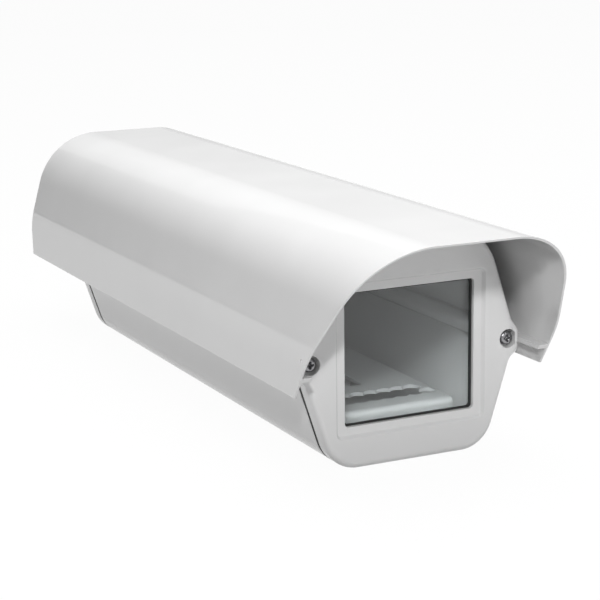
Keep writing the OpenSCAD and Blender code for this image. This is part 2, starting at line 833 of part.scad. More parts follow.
// Tapped plate on the floor, with a round spigot through the floor at each bracket hole
module bracket_plate() {
    color("silver") difference() {
        union() {
            translate([0, 0, floor_t]) linear_extrude(plate_t)
                polygon(rounded(0, 0, plate_w, plate_l, plate_corner_r));
            at_bracket_holes() cylinder(h = floor_t + 1, r = spigot_d / 2);
        }
        at_bracket_holes() translate([0, 0, -eps])
            cylinder(h = floor_t + plate_t + 1, r = bracket_hole_d / 2);
        at_plate_screws() cylinder(h = floor_t + plate_t + 1, r = port_r);
    }
}

module bracket_plate_screws() {
    color("silver") at_plate_screws() countersunk_screw(screw_d, floor_t + plate_t - 1);
}

// Nylon bush that guides the camera screw in the tray's slot
module camera_bush() {
    color("ivory") translate([0, bush_y, 0]) difference() {
        union() {
            translate([0, 0, tray_z - tray_t - bush_t]) cylinder(h = bush_t, r = bush_d / 2);
            translate([0, 0, tray_z - tray_t - eps]) cylinder(h = tray_t + eps, r = slot_w / 2 - bush_gap);
        }
        translate([0, 0, tray_z - tray_t - bush_t - eps])
            cylinder(h = tray_t + bush_t + 2 * eps, r = camera_hole_r);
    }
}

module camera_washer() {
    color("#303030") translate([0, bush_y, tray_z]) difference() {
        cylinder(h = top_washer_t, r = bush_d / 2);
        translate([0, 0, -eps]) cylinder(h = top_washer_t + 2 * eps, r = camera_hole_r);
    }
}

module camera_screw() {
    knob_z = tray_z - tray_t - bush_t - knob_h;
    top_z = tray_z + top_washer_t + camera_screw_up;
    color("silver") translate([0, bush_y, 0]) {
        difference() {
            translate([0, 0, knob_z]) cylinder(h = knob_h, r = knob_d / 2);
            for (i = [0:knob_flutes - 1]) {
                rotate(i * 360 / knob_flutes) translate([knob_d / 2 + flute_out, 0, knob_z - eps])
                    cylinder(h = knob_h + 2 * eps, r = flute_r);
            }
        }
        translate([0, 0, knob_z + eps]) cylinder(h = top_z - knob_z - eps, r = camera_screw_d / 2);
    }
}

module gland_body(x) {
    color("#2b2b2b") difference() {
        union() {
            hex_y(x, gland_y, gland_z, gland_flats, gland_flange_t);
            rod_y(x, gland_y - gland_tail, gland_z, gland_thread_r, gland_tail + eps);
            rod_y(x, gland_y + gland_flange_t - eps, gland_z, neck_r, gland_neck_l + eps);
        }
        rod_y(x, gland_y - gland_tail - eps, gland_z, gland_seal_r - 1, gland_tail + gland_flange_t + 1);
        rod_y(x, gland_y + gland_flange_t, gland_z, gland_seal_r + thread_gap, gland_neck_l + eps);
    }
}

module gland_seal(x) {
    color("#404040") difference() {
        rod_y(x, gland_y + gland_flange_t, gland_z, gland_seal_r, gland_seal_l);
        rod_y(x, gland_y + gland_flange_t - eps, gland_z, gland_bore_d / 2, gland_seal_l + 2 * eps);
    }
}

// Cap nut: a hexagon with a domed end, over the neck and the seal
module gland_cap_nut(x) {
    hex_l = gland_nut_l * 0.65;
    dome_l = gland_nut_l - hex_l;
    inner_l = gland_y + gland_flange_t + gland_seal_l + 0.3 - gland_nut_y;
    color("#2b2b2b") difference() {
        union() {
            hex_y(x, gland_nut_y, gland_z, gland_flats, hex_l);
            translate([x, gland_nut_y + hex_l - eps, gland_z]) rotate([-90, 0, 0])
                cylinder(h = dome_l, r1 = gland_flats / 2, r2 = gland_flats / 2 - dome_l * 0.6);
        }
        rod_y(x, gland_nut_y - eps, gland_z, neck_r + thread_gap, inner_l);
        rod_y(x, gland_nut_y, gland_z, gland_bore_d / 2 + 1.5, gland_nut_l + eps);
    }
}

module gland_locknuts() {
    color("#2b2b2b") for (x = entry_x) difference() {
        hex_y(x, cap_end_y - cap_plate_t - locknut_t, gland_z, gland_flats, locknut_t);
        rod_y(x, cap_end_y - cap_plate_t - locknut_t - eps, gland_z, gland_r, locknut_t + 2 * eps);
    }
}

module gland_face_washers() {
    color("#151515") for (x = entry_x) difference() {
        rod_y(x, cap_end_y, gland_z, gland_flats / 2, face_washer_t);
        rod_y(x, cap_end_y - eps, gland_z, gland_r + shank_gap, face_washer_t + 2 * eps);
    }
}

// Plug that closes the middle entry, with a coin slot across its head
module blanking_plug() {
    color("#2b2b2b") difference() {
        union() {
            rod_y(0, gland_y, gland_z, gland_flats / 2, plug_head_t);
            rod_y(0, gland_y - gland_tail, gland_z, gland_thread_r, gland_tail + eps);
        }
        translate([-gland_flats / 3, gland_y + plug_head_t - plug_slot_depth, gland_z - plug_slot_w / 2])
            cube([gland_flats / 1.5, plug_slot_depth + eps, plug_slot_w]);
    }
}

// Place of the earth screw on the tray's top, near its rear right corner
module at_earth_screw() {
    translate([tray_w / 2 - earth_side, tray_end_y - earth_back, tray_z]) children();
}

module earth_washer() {
    color("gold") at_earth_screw() difference() {
        cylinder(h = earth_washer_t, r = earth_washer_r);
        translate([0, 0, -eps]) cylinder(h = earth_washer_t + 2 * eps, r = small_screw_d / 2 + washer_gap);
        for (i = [0:7]) {
            rotate(i * 45) translate([earth_washer_r, 0, -eps])
                cylinder(h = earth_washer_t + 2 * eps, r = earth_notch_r);
        }
    }
}

module earth_screw() {
    color("gold") at_earth_screw() translate([0, 0, earth_washer_t])
        pan_screw(small_head_d, small_head_h, small_screw_d, tray_t + earth_washer_t + 2);
}

body_shell();
front_gasket();
front_bezel();
window_seal();
window_glass();
window_retainer();
retainer_screws();
bezel_screws();
bezel_spring_washers();
rear_gasket();
rear_cap();
rear_cap_screws();
rear_spring_washers();
sunshade();
shade_lock_screws();
camera_tray();
tray_screws();
tray_nuts();
camera_bush();
camera_washer();
camera_screw();
bracket_plate();
bracket_plate_screws();
gland_body(-gland_pitch);  // gland_body_left
gland_body(gland_pitch);  // gland_body_right
gland_seal(-gland_pitch);  // gland_seal_left
gland_seal(gland_pitch);  // gland_seal_right
gland_cap_nut(-gland_pitch);  // gland_cap_nut_left
gland_cap_nut(gland_pitch);  // gland_cap_nut_right
gland_locknuts();
gland_face_washers();
blanking_plug();
earth_screw();
earth_washer();
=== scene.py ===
"""Looks of an outdoor camera housing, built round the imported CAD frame.

Lengths are metres. The housing's front faces -Y and +Z is up. Outlines are drawn in X and Z,
anticlockwise as seen from the front, and run along Y.
"""

from __future__ import annotations

import json
import logging
import math
from dataclasses import dataclass, replace
from enum import Enum
from typing import Iterable, Sequence

import bmesh
import bpy
from mathutils import Matrix, Vector
from mathutils.geometry import tessellate_polygon

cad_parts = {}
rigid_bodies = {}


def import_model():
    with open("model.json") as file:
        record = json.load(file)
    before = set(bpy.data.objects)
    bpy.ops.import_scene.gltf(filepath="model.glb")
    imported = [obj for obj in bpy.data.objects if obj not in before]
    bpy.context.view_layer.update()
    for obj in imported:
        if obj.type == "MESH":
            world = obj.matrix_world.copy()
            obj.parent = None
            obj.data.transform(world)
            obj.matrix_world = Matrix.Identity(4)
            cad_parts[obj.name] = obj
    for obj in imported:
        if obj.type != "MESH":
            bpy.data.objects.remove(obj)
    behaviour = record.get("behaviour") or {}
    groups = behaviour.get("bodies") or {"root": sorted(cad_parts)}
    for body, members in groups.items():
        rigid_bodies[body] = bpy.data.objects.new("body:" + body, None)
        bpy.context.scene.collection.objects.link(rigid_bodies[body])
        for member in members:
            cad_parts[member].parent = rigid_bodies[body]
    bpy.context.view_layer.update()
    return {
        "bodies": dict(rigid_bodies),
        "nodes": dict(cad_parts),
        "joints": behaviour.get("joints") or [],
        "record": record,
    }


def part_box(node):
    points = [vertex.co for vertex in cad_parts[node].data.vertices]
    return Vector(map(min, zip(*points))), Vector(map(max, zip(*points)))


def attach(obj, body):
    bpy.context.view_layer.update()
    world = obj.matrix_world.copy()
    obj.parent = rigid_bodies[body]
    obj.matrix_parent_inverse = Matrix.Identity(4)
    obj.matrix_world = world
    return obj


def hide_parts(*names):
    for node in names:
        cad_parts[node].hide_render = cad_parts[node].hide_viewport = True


LOG = logging.getLogger("camera_housing")
MM = 0.001
UPWARDS = Vector((0.0, 0.0, 1.0))
Point = tuple[float, float]
Ring = list[bmesh.types.BMVert]


class Body(Enum):
    """Bodies of the frame that the built pieces ride on."""

    HOUSING = "housing"
    SUNSHADE = "sunshade"


class Slot(Enum):
    """Material slots of the record."""

    PAINT = "white_paint"
    GASKET = "gasket_rubber"
    SEAL = "seal_rubber"
    GLASS = "window_glass"
    ALUMINIUM = "plain_aluminium"
    STEEL = "screw_steel"
    NYLON_WHITE = "nylon_white"
    NYLON_BLACK = "gland_nylon"
    BRASS = "earth_brass"


# Outlines


@dataclass(frozen=True)
class Corner:
    """One corner of an outline, and the radius that rounds it."""

    x: float
    z: float
    radius: float = 0.0
    steps: int = 5


@dataclass(frozen=True)
class Outline:
    """Closed outline, given by its corners."""

    corners: tuple[Corner, ...]

    def points(self, inset: float = 0.0) -> list[Point]:
        """Points of the outline, moved inwards.

        Args:
            inset: distance that every edge moves inwards; negative moves it outwards.

        Returns:
            The points, as many for any inset.
        """
        found: list[Point] = []
        count = len(self.corners)
        for i, corner in enumerate(self.corners):
            here = Vector((corner.x, corner.z))
            before = self.corners[i - 1]
            after = self.corners[(i + 1) % count]
            way_in = (here - Vector((before.x, before.z))).normalized()
            way_out = (Vector((after.x, after.z)) - here).normalized()
            left_in = Vector((-way_in.y, way_in.x))
            left_out = Vector((-way_out.y, way_out.x))
            moved = here + (left_in + left_out) * (inset / (1.0 + left_in.dot(left_out)))
            if corner.radius <= 0.0:
                found.append((moved.x, moved.y))
                continue
            turn = math.atan2(way_in.x * way_out.y - way_in.y * way_out.x, way_in.dot(way_out))
            side = 1.0 if turn > 0.0 else -1.0
            radius = max(corner.radius - side * inset, 1e-6)
            start = moved - way_in * (radius * math.tan(abs(turn) / 2.0))
            centre = start + left_in * (side * radius)
            arm = start - centre
            for k in range(corner.steps + 1):
                angle = turn * k / corner.steps
                c, s = math.cos(angle), math.sin(angle)
                found.append((centre.x + arm.x * c - arm.y * s, centre.y + arm.x * s + arm.y * c))
        return found


def mirrored(right: Sequence[Corner]) -> tuple[Corner, ...]:
    """Corners of the right half, followed by their mirror images, back to the start."""
    return tuple(right) + tuple(replace(c, x=-c.x) for c in reversed(right))


def rectangle(x: float, z: float, width: float, height: float, radius: float, steps: int = 6) -> Outline:
    """Rectangle about a point, with round corners."""
    w, h = width / 2.0, height / 2.0
    spots = ((x + w, z - h), (x + w, z + h), (x - w, z + h), (x - w, z - h))
    return Outline(tuple(Corner(a, b, radius, steps) for a, b in spots))


def circle_points(x: float, z: float, radius: float, count: int = 48) -> list[Point]:
    """Points of a circle about a point."""
    turn = 2.0 * math.pi / count
    return [(x + radius * math.cos(k * turn), z + radius * math.sin(k * turn)) for k in range(count)]


def soft_edge(face_y: float, inward: float, radius: float, steps: int = 3) -> list[tuple[float, float]]:
    """Quarter round between a face and a side.

    Args:
        face_y: where the face lies.
        inward: 1 or -1, the way along Y from the face into the piece.
        radius: radius of the round.
        steps: number of its straight pieces.

    Returns:
        Pairs of inset and place along Y, from the face to the side.
    """
    angles = [math.pi / 2.0 * k / steps for k in range(steps + 1)]
    return [(radius * (1.0 - math.sin(a)), face_y + inward * radius * (1.0 - math.cos(a))) for a in angles]


# Meshes


class Piece:
    """One mesh under construction: rings of points, bands between them and flat caps."""

    def __init__(self) -> None:
        """Starts with no points."""
        self.mesh = bmesh.new()

    def ring(self, points: Iterable[Sequence[float]]) -> Ring:
        """Adds a closed ring of 3-D points."""
        return [self.mesh.verts.new(p) for p in points]

    def flat_ring(self, points: Iterable[Point], y: float) -> Ring:
        """Adds a ring of X and Z points at one place along Y."""
        return self.ring((x, y, z) for x, z in points)

    def band(self, first: Ring, second: Ring) -> None:
        """Joins two rings that have as many points with four-sided faces."""
        count = len(first)
        for i in range(count):
            j = (i + 1) % count
            self.mesh.faces.new((first[i], first[j], second[j], second[i]))

    def bands(self, rings: Sequence[Ring]) -> None:
        """Joins each ring to the next one."""
        for first, second in zip(rings, rings[1:]):
            self.band(first, second)

    def cap(self, outer: Ring, holes: Sequence[Ring] = ()) -> None:
        """Closes a ring with a flat face, which leaves its holes open."""
        loops = [outer, *holes]
        flat = [v for loop in loops for v in loop]
        for triangle in tessellate_polygon([[v.co.copy() for v in loop] for loop in loops]):
            if len({flat[i] for i in triangle}) == 3:
                self.mesh.faces.new([flat[i] for i in triangle])

    def close(self, rings: Sequence[Ring], *holes: Sequence[Ring]) -> None:
        """Caps the first and the last ring of a wall, round the same rings of its holes."""
        self.cap(rings[0], [hole[0] for hole in holes])
        self.cap(rings[-1], [hole[-1] for hole in holes])

    def wall(self, outline: Outline, steps: Sequence[tuple[float, float]]) -> list[Ring]:
        """Adds a wall that follows an outline.

        Args:
            outline: the outline.
            steps: pairs of inset and place along Y.

        Returns:
            The wall's rings, in order.
        """
        rings = [self.flat_ring(outline.points(inset), y) for inset, y in steps]
        self.bands(rings)
        return rings

    def tube(self, x: float, z: float, steps: Sequence[tuple[float, float]], count: int = 48) -> list[Ring]:
        """Adds a round wall about an axis along Y.

        Args:
            x: the axis's X.
            z: the axis's Z.
            steps: pairs of radius and place along Y.
            count: points of each ring.

        Returns:
            The wall's rings, in order.
        """
        rings = [self.flat_ring(circle_points(x, z, r, count), y) for r, y in steps]
        self.bands(rings)
        return rings

    def finish(self, name: str, smooth_deg: float = 32.0, weld: float = 1e-7) -> bpy.types.Object:
        """Turns the points and faces into an object with soft shading.

        Args:
            name: the object's name.
            smooth_deg: edges that turn by more than this stay sharp.
            weld: distance within which points are joined.

        Returns:
            The new object.
        """
        bmesh.ops.remove_doubles(self.mesh, verts=self.mesh.verts, dist=weld)
        bmesh.ops.dissolve_degenerate(self.mesh, edges=self.mesh.edges, dist=weld)
        bmesh.ops.recalc_face_normals(self.mesh, faces=self.mesh.faces)
        data = bpy.data.meshes.new(name)
        self.mesh.to_mesh(data)
        self.mesh.free()
        made = bpy.data.objects.new(name, data)
        bpy.context.scene.collection.objects.link(made)
        soften(made, smooth_deg)
        return made


def soften(item: bpy.types.Object, smooth_deg: float) -> None:
    """Shades a mesh smooth, apart from its sharp edges, with normals that keep flat faces flat."""
    item.data.shade_smooth()
    item.data.set_sharp_from_angle(angle=math.radians(smooth_deg))
    if "flat_faces" not in item.modifiers:
        weighted = item.modifiers.new("flat_faces", "WEIGHTED_NORMAL")
        weighted.keep_sharp = True
        weighted.weight = 60


def cut(item: bpy.types.Object, cutters: Sequence[bpy.types.Object], smooth_deg: float = 32.0) -> None:
    """Cuts closed meshes out of a piece and removes them.

    Args:
        item: the piece that is cut.
        cutters: the closed meshes.
        smooth_deg: edges that turn by more than this stay sharp.
    """
    for cutter in cutters:
        drill = item.modifiers.new("drill", "BOOLEAN")
        drill.operation = "DIFFERENCE"
        drill.solver = "EXACT"
        drill.object = cutter
    for modifier in item.modifiers:
        modifier.show_viewport = modifier.type == "BOOLEAN"
    bpy.context.view_layer.update()
    graph = bpy.context.evaluated_depsgraph_get()
    data = bpy.data.meshes.new_from_object(item.evaluated_get(graph))
    item.modifiers.clear()
    item.data = data
    for cutter in cutters:
        bpy.data.objects.remove(cutter)
    soften(item, smooth_deg)


def drill(start: Vector, along: Vector, profile: Sequence[tuple[float, float]],
          count: int = 32) -> bpy.types.Object:
    """Closed turned shape, used to cut holes.

    Args:
        start: point on the axis where distances begin.
        along: unit vector along the axis.
        profile: pairs of radius and distance along the axis.
        count: points of each ring.

    Returns:
        The turned shape.
    """
    across = along.orthogonal().normalized()
    other = along.cross(across)
    turn = 2.0 * math.pi / count
    piece = Piece()
    rings = [
        piece.ring(
            start + along * distance + (across * math.cos(k * turn) + other * math.sin(k * turn)) * radius
            for k in range(count))
        for radius, distance in profile]
    piece.bands(rings)
    piece.close(rings)
    return piece.finish("drill")


def merged(name: str, items: Sequence[bpy.types.Object], smooth_deg: float = 32.0) -> bpy.types.Object:
    """Joins the meshes of several objects, with their transforms, into one new object."""
    joined = bmesh.new()
    for item in items:
        item.data.transform(item.matrix_basis)
        joined.from_mesh(item.data)
        bpy.data.objects.remove(item)
    data = bpy.data.meshes.new(name)
    joined.to_mesh(data)
    joined.free()
    made = bpy.data.objects.new(name, data)
    bpy.context.scene.collection.objects.link(made)
    soften(made, smooth_deg)
    return made


def middle(node: str) -> tuple[float, float, float]:
    """Middle of a CAD node's box."""
    low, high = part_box(node)
    return (low.x + high.x) / 2.0, (low.y + high.y) / 2.0, (low.z + high.z) / 2.0


def seat(piece: bpy.types.Object, node: str, body: Body, finish: bpy.types.Material) -> None:
    """Lets a piece stand for a CAD node, on its body and with its finish."""
    piece.data.materials.clear()
    piece.data.materials.append(finish)
    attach(piece, body.value)
    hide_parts(node)
    LOG.info("piece %s stands for %s", piece.name, node)


# Shader node groups


class Shader:
    """Short calls for adding and linking nodes in one node tree."""

    def __init__(self, tree: bpy.types.NodeTree) -> None:
        """Starts from an empty tree."""
        self.tree = tree
        tree.nodes.clear()

    def add(self, kind: str, **values: object) -> bpy.types.Node:
        """Adds a node and sets its attributes."""
        node = self.tree.nodes.new(kind)
        for key, value in values.items():
            setattr(node, key, value)
        return node

    def wire(self, *links: tuple[bpy.types.Node, str | int, bpy.types.Node, str | int]) -> None:
        """Joins sockets: each link names a node, its output, a second node and its input."""
        for source, output, target, entry in links:
            self.tree.links.new(source.outputs[output], target.inputs[entry])

    def group(self, tree: bpy.types.NodeTree, **values: object) -> bpy.types.Node:
        """Places a node group and sets its inputs, with spaces in their names as underscores."""
        node = self.add("ShaderNodeGroup", node_tree=tree)
        for key, value in values.items():
            node.inputs[key.replace("_", " ")].default_value = value
        return node


def new_group(name: str, inputs: dict[str, tuple[str, object]],
              outputs: dict[str, str]) -> bpy.types.NodeTree:
    """Makes an empty shader node group.

    Args:
        name: the group's name.
        inputs: socket type and first value of each input, by name.
        outputs: socket type of each output, by name.

    Returns:
        The group's node tree.
    """
    tree = bpy.data.node_groups.new(name, "ShaderNodeTree")
    for label, (kind, value) in inputs.items():
        tree.interface.new_socket(label, in_out="INPUT", socket_type=kind).default_value = value
    for label, kind in outputs.items():
        tree.interface.new_socket(label, in_out="OUTPUT", socket_type=kind)
    return tree


def grain_group() -> bpy.types.NodeTree:
    """Fine stretched noise in the piece's own space: orange peel, moulded grain or rolling lines."""
    tree = new_group(
        "surface_grain",
        {"Scale": ("NodeSocketFloat", 100.0), "Stretch": ("NodeSocketVector", (1.0, 1.0, 1.0)),
         "Detail": ("NodeSocketFloat", 3.0)},
        {"Height": "NodeSocketFloat", "Tone": "NodeSocketFloat"})
    nodes = Shader(tree)
    entry = nodes.add("NodeGroupInput")
    leave = nodes.add("NodeGroupOutput")
    place = nodes.add("ShaderNodeTexCoord")
    stretch = nodes.add("ShaderNodeVectorMath", operation="MULTIPLY")
    fine = nodes.add("ShaderNodeTexNoise")
    broad = nodes.add("ShaderNodeTexNoise")
    smaller = nodes.add("ShaderNodeMath", operation="MULTIPLY")
    smaller.inputs[1].default_value = 0.07
    broad.inputs["Detail"].default_value = 2.0
    nodes.wire(
        (place, "Object", stretch, 0), (entry, "Stretch", stretch, 1), (entry, "Scale", fine, "Scale"),
        (entry, "Detail", fine, "Detail"), (entry, "Scale", smaller, 0), (smaller, 0, broad, "Scale"))
    for noise in (fine, broad):
        nodes.wire((stretch, 0, noise, "Vector"))
    nodes.wire(
        (fine, "Fac", leave, "Height"), (broad, "Fac", leave, "Tone"))
    return tree


def blend_group() -> bpy.types.NodeTree:
    """Colour and roughness that drift between two values with a mask."""
    tree = new_group(
        "tone_drift",
        {"Mask": ("NodeSocketFloat", 0.5), "Low Colour": ("NodeSocketColor", (0.5, 0.5, 0.5, 1.0)),
         "High Colour": ("NodeSocketColor", (0.6, 0.6, 0.6, 1.0)), "Low Roughness": ("NodeSocketFloat", 0.3),
         "High Roughness": ("NodeSocketFloat", 0.4)},
        {"Colour": "NodeSocketColor", "Roughness": "NodeSocketFloat"})
    nodes = Shader(tree)
    entry = nodes.add("NodeGroupInput")
    leave = nodes.add("NodeGroupOutput")
    spread = nodes.add("ShaderNodeMapRange", clamp=True)
    spread.inputs["From Min"].default_value = 0.35
    spread.inputs["From Max"].default_value = 0.65
    colour = nodes.add("ShaderNodeMix", data_type="RGBA")
    rough = nodes.add("ShaderNodeMix", data_type="FLOAT")
    nodes.wire(
        (entry, "Mask", spread, "Value"), (spread, 0, colour, "Factor"), (spread, 0, rough, "Factor"),
        (entry, "Low Colour", colour, 6), (entry, "High Colour", colour, 7),
        (entry, "Low Roughness", rough, 2), (entry, "High Roughness", rough, 3),
        (colour, 2, leave, "Colour"), (rough, 0, leave, "Roughness"))
    return tree


@dataclass(frozen=True)
class Groups:
    """Shader node groups that the finishes share."""

    grain: bpy.types.NodeTree
    drift: bpy.types.NodeTree


# Finishes


@dataclass(frozen=True)
class Finish:
    """An opaque finish: two close tones that drift, and a fine relief."""

    name: str
    low: tuple[float, float, float]
    high: tuple[float, float, float]
    rough: tuple[float, float]
    grain_scale: float
    stretch: tuple[float, float, float] = (1.0, 1.0, 1.0)
    relief: float = 0.1
    relief_depth: float = 0.1 * MM
    metallic: float = 0.0
    coat: float = 0.0
    coat_rough: float = 0.1
    specular: float = 0.5
    detail: float = 3.0

    def build(self, groups: Groups) -> bpy.types.Material:
        """Makes the material.

        Args:
            groups: the shared node groups.

        Returns:
            The new material.
        """
        made = bpy.data.materials.new(self.name)
        made.use_nodes = True
        nodes = Shader(made.node_tree)
        out = nodes.add("ShaderNodeOutputMaterial")
        shader = nodes.add("ShaderNodeBsdfPrincipled")
        shader.inputs["Metallic"].default_value = self.metallic
        shader.inputs["Coat Weight"].default_value = self.coat
        shader.inputs["Coat Roughness"].default_value = self.coat_rough
        shader.inputs["Specular IOR Level"].default_value = self.specular
        grain = nodes.group(groups.grain, Scale=self.grain_scale, Stretch=self.stretch, Detail=self.detail)
        drift = nodes.group(
            groups.drift, Low_Colour=(*self.low, 1.0), High_Colour=(*self.high, 1.0),
            Low_Roughness=self.rough[0], High_Roughness=self.rough[1])
        bump = nodes.add("ShaderNodeBump")
        bump.inputs["Strength"].default_value = self.relief
        bump.inputs["Distance"].default_value = self.relief_depth
        nodes.wire(
            (grain, "Tone", drift, "Mask"), (grain, "Height", bump, "Height"),
            (drift, "Colour", shader, "Base Color"), (drift, "Roughness", shader, "Roughness"),
            (bump, "Normal", shader, "Normal"), (shader, 0, out, "Surface"))
        return made


@dataclass(frozen=True)
class GlassFinish:
    """Sheet glass with a grey tint that drifts a little, and that lets lamp light straight through."""

    name: str
    low: tuple[float, float, float]
    high: tuple[float, float, float]
    ior: float = 1.45

    def build(self, groups: Groups) -> bpy.types.Material:
        """Makes the material.

        Args:
            groups: the shared node groups.

        Returns:
            The new material.
        """
        made = bpy.data.materials.new(self.name)
        made.use_nodes = True
        nodes = Shader(made.node_tree)
        out = nodes.add("ShaderNodeOutputMaterial")
        shader = nodes.add("ShaderNodeBsdfPrincipled")
        shader.inputs["Transmission Weight"].default_value = 1.0
        shader.inputs["IOR"].default_value = self.ior
        shader.inputs["Roughness"].default_value = 0.0
        grain = nodes.group(groups.grain, Scale=40.0, Detail=2.0)
        drift = nodes.group(
            groups.drift, Low_Colour=(*self.low, 1.0), High_Colour=(*self.high, 1.0))
        clear = nodes.add("ShaderNodeBsdfTransparent")
        clear.inputs["Color"].default_value = (*self.low, 1.0)
        path = nodes.add("ShaderNodeLightPath")
        mix = nodes.add("ShaderNodeMixShader")
        nodes.wire(
            (grain, "Tone", drift, "Mask"), (drift, "Colour", shader, "Base Color"),
            (path, "Is Shadow Ray", mix, "Fac"), (shader, 0, mix, 1), (clear, 0, mix, 2),
            (mix, 0, out, "Surface"))
        return made


FINISHES: dict[Slot, Finish | GlassFinish] = {
    Slot.PAINT: Finish(
        "gloss_white_paint", (0.80, 0.80, 0.80), (0.82, 0.82, 0.82), (0.30, 0.34), 260.0,
        relief=0.04, relief_depth=0.15 * MM, coat=0.8, coat_rough=0.035),
    Slot.GASKET: Finish(
        "black_gasket_rubber", (0.006, 0.006, 0.006), (0.010, 0.010, 0.010), (0.5, 0.62), 900.0,
        relief=0.25, relief_depth=0.1 * MM, specular=0.2),
    Slot.SEAL: Finish(
        "black_seal_rubber", (0.024, 0.024, 0.024), (0.034, 0.034, 0.034), (0.42, 0.55), 1200.0,
        relief=0.15, relief_depth=0.05 * MM, specular=0.25),
    Slot.GLASS: GlassFinish("clear_window_glass", (0.74, 0.76, 0.76), (0.77, 0.79, 0.79)),
    Slot.ALUMINIUM: Finish(
        "rolled_aluminium", (0.78, 0.79, 0.79), (0.86, 0.87, 0.87), (0.55, 0.65), 500.0,
        stretch=(1.0, 0.05, 1.0), relief=0.2, relief_depth=0.05 * MM, metallic=0.35),
    Slot.STEEL: Finish(
        "plain_screw_steel", (0.26, 0.26, 0.27), (0.34, 0.34, 0.35), (0.24, 0.34), 1500.0,
        relief=0.15, relief_depth=0.04 * MM, metallic=1.0),
    Slot.NYLON_WHITE: Finish(
        "natural_nylon", (0.72, 0.71, 0.66), (0.78, 0.77, 0.72), (0.4, 0.5), 700.0,
        relief=0.1, relief_depth=0.05 * MM),
    Slot.NYLON_BLACK: Finish(
        "moulded_black_nylon", (0.02, 0.02, 0.021), (0.032, 0.032, 0.034), (0.36, 0.48), 1400.0,
        relief=0.2, relief_depth=0.06 * MM),
    Slot.BRASS: Finish(
        "turned_brass", (0.62, 0.44, 0.18), (0.72, 0.53, 0.25), (0.22, 0.32), 1200.0,
        relief=0.12, relief_depth=0.04 * MM, metallic=1.0),
}


# The housing's shared shape


@dataclass(frozen=True)
class Housing:
    """Outlines and places that the castings, gaskets and extrusion share."""

    body_low: Vector
    body_high: Vector
    ear_x: float
    waist_x: float = 66.3 * MM
    waist_z: float = 61.0 * MM
    flank_tilt: float = math.radians(18.0)
    lower_radius: float = 20.0 * MM
    upper_radius: float = 30.0 * MM
    ear_rise: float = 4.0 * MM
    ear_drop: float = 7.4 * MM
    ear_lean_up: float = math.radians(34.7)
    ear_lean_down: float = math.radians(52.0)
    ear_radius: float = 4.0 * MM
    port_x: float = 60.0 * MM
    port_z: float = 60.0 * MM
    boss_radius: float = 5.5 * MM
    screw_hole_radius: float = 2.25 * MM
    steps: int = 20

    @classmethod
    def from_frame(cls) -> Housing:
        """Takes the body's and the ears' reach from the CAD model."""
        low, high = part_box("body_shell")
        return cls(low, high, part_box("front_bezel")[1].x)

    @property
    def floor_start(self) -> float:
        """Share of the lower radius that lies between the flat floor and the flank's foot."""
        return math.tan((math.pi / 2.0 - self.flank_tilt) / 2.0) + 0.001

    def flank_x(self, z: float, inset: float = 0.0) -> float:
        """Half width at a height, on flank lines that are moved inwards."""
        lean = math.tan(self.flank_tilt) * abs(self.waist_z - z)
        return self.waist_x - lean - inset / math.cos(self.flank_tilt)

    def base_corners(self, inset: float) -> tuple[Corner, Corner]:
        """The right lower and right upper corner, moved inwards."""
        low, high = inset, self.body_high.z - inset
        return (
            Corner(self.flank_x(low, inset), low, self.lower_radius - inset, self.steps),
            Corner(self.flank_x(high, inset), high, self.upper_radius - inset, self.steps))

    def foot(self, side_end: float, lean: float, radius: float) -> Corner:
        """Corner where a slanted shoulder of the ear meets the flank.

        Args:
            side_end: height at which the shoulder leaves the ear's upright side.
            lean: the shoulder's lean from the vertical.
            radius: radius of the hollow corner.

        Returns:
            The corner.
        """
        slope = math.tan(self.flank_tilt)
        start = self.ear_x - self.waist_x + slope * abs(side_end - self.waist_z)
        way = 1.0 if side_end > self.waist_z else -1.0
        z = side_end + way * start / (math.tan(lean) - slope)
        return Corner(self.flank_x(z), z, radius, 4)

    def ear(self) -> tuple[Corner, Corner, Corner, Corner]:
        """The right ear: lower foot, both ends of its upright side, and upper foot."""
        low, high = self.port_z - self.ear_drop, self.port_z + self.ear_rise
        return (
            self.foot(low, self.ear_lean_down, 5.0 * MM),
            Corner(self.ear_x, low, self.ear_radius, 8),
            Corner(self.ear_x, high, self.ear_radius, 8),
            self.foot(high, self.ear_lean_up, 10.0 * MM))

    def eared(self) -> Outline:
        """Outline of the castings: the body's section with an ear round each screw."""
        lower, upper = self.base_corners(0.0)
        return Outline(mirrored((lower, *self.ear(), upper)))

    def hollow(self, inset: float, boss: float, floor: float | None = None) -> Outline:
        """Inner outline of a hollow part.

        Args:
            inset: thickness of the wall that it leaves.
            boss: radius of the boss that it leaves round each screw.
            floor: thickness of the flat land on the floor, where it differs from the wall.

        Returns:
            The outline.
        """
        lower, upper = self.base_corners(inset)
        land_x = self.flank_x(0.0) - self.lower_radius * self.floor_start
        land = () if floor is None else (Corner(land_x, floor, 0.2 * MM, 2), Corner(land_x, inset))
        low, high = self.port_z - boss, self.port_z + boss
        reach = self.port_x - boss
        round_off = boss * 0.98
        return Outline(mirrored((
            *land,
            lower,
            Corner(self.flank_x(low, inset), low, 0.3 * MM, 2),
            Corner(reach, low, round_off, 6),
            Corner(reach, high, round_off, 6),
            Corner(self.flank_x(high, inset), high, 0.3 * MM, 2),
            upper)))

    def screw_places(self) -> tuple[Point, Point]:
        """Axes of the two screw ports."""
        return (self.port_x, self.port_z), (-self.port_x, self.port_z)


# Sub-assemblies


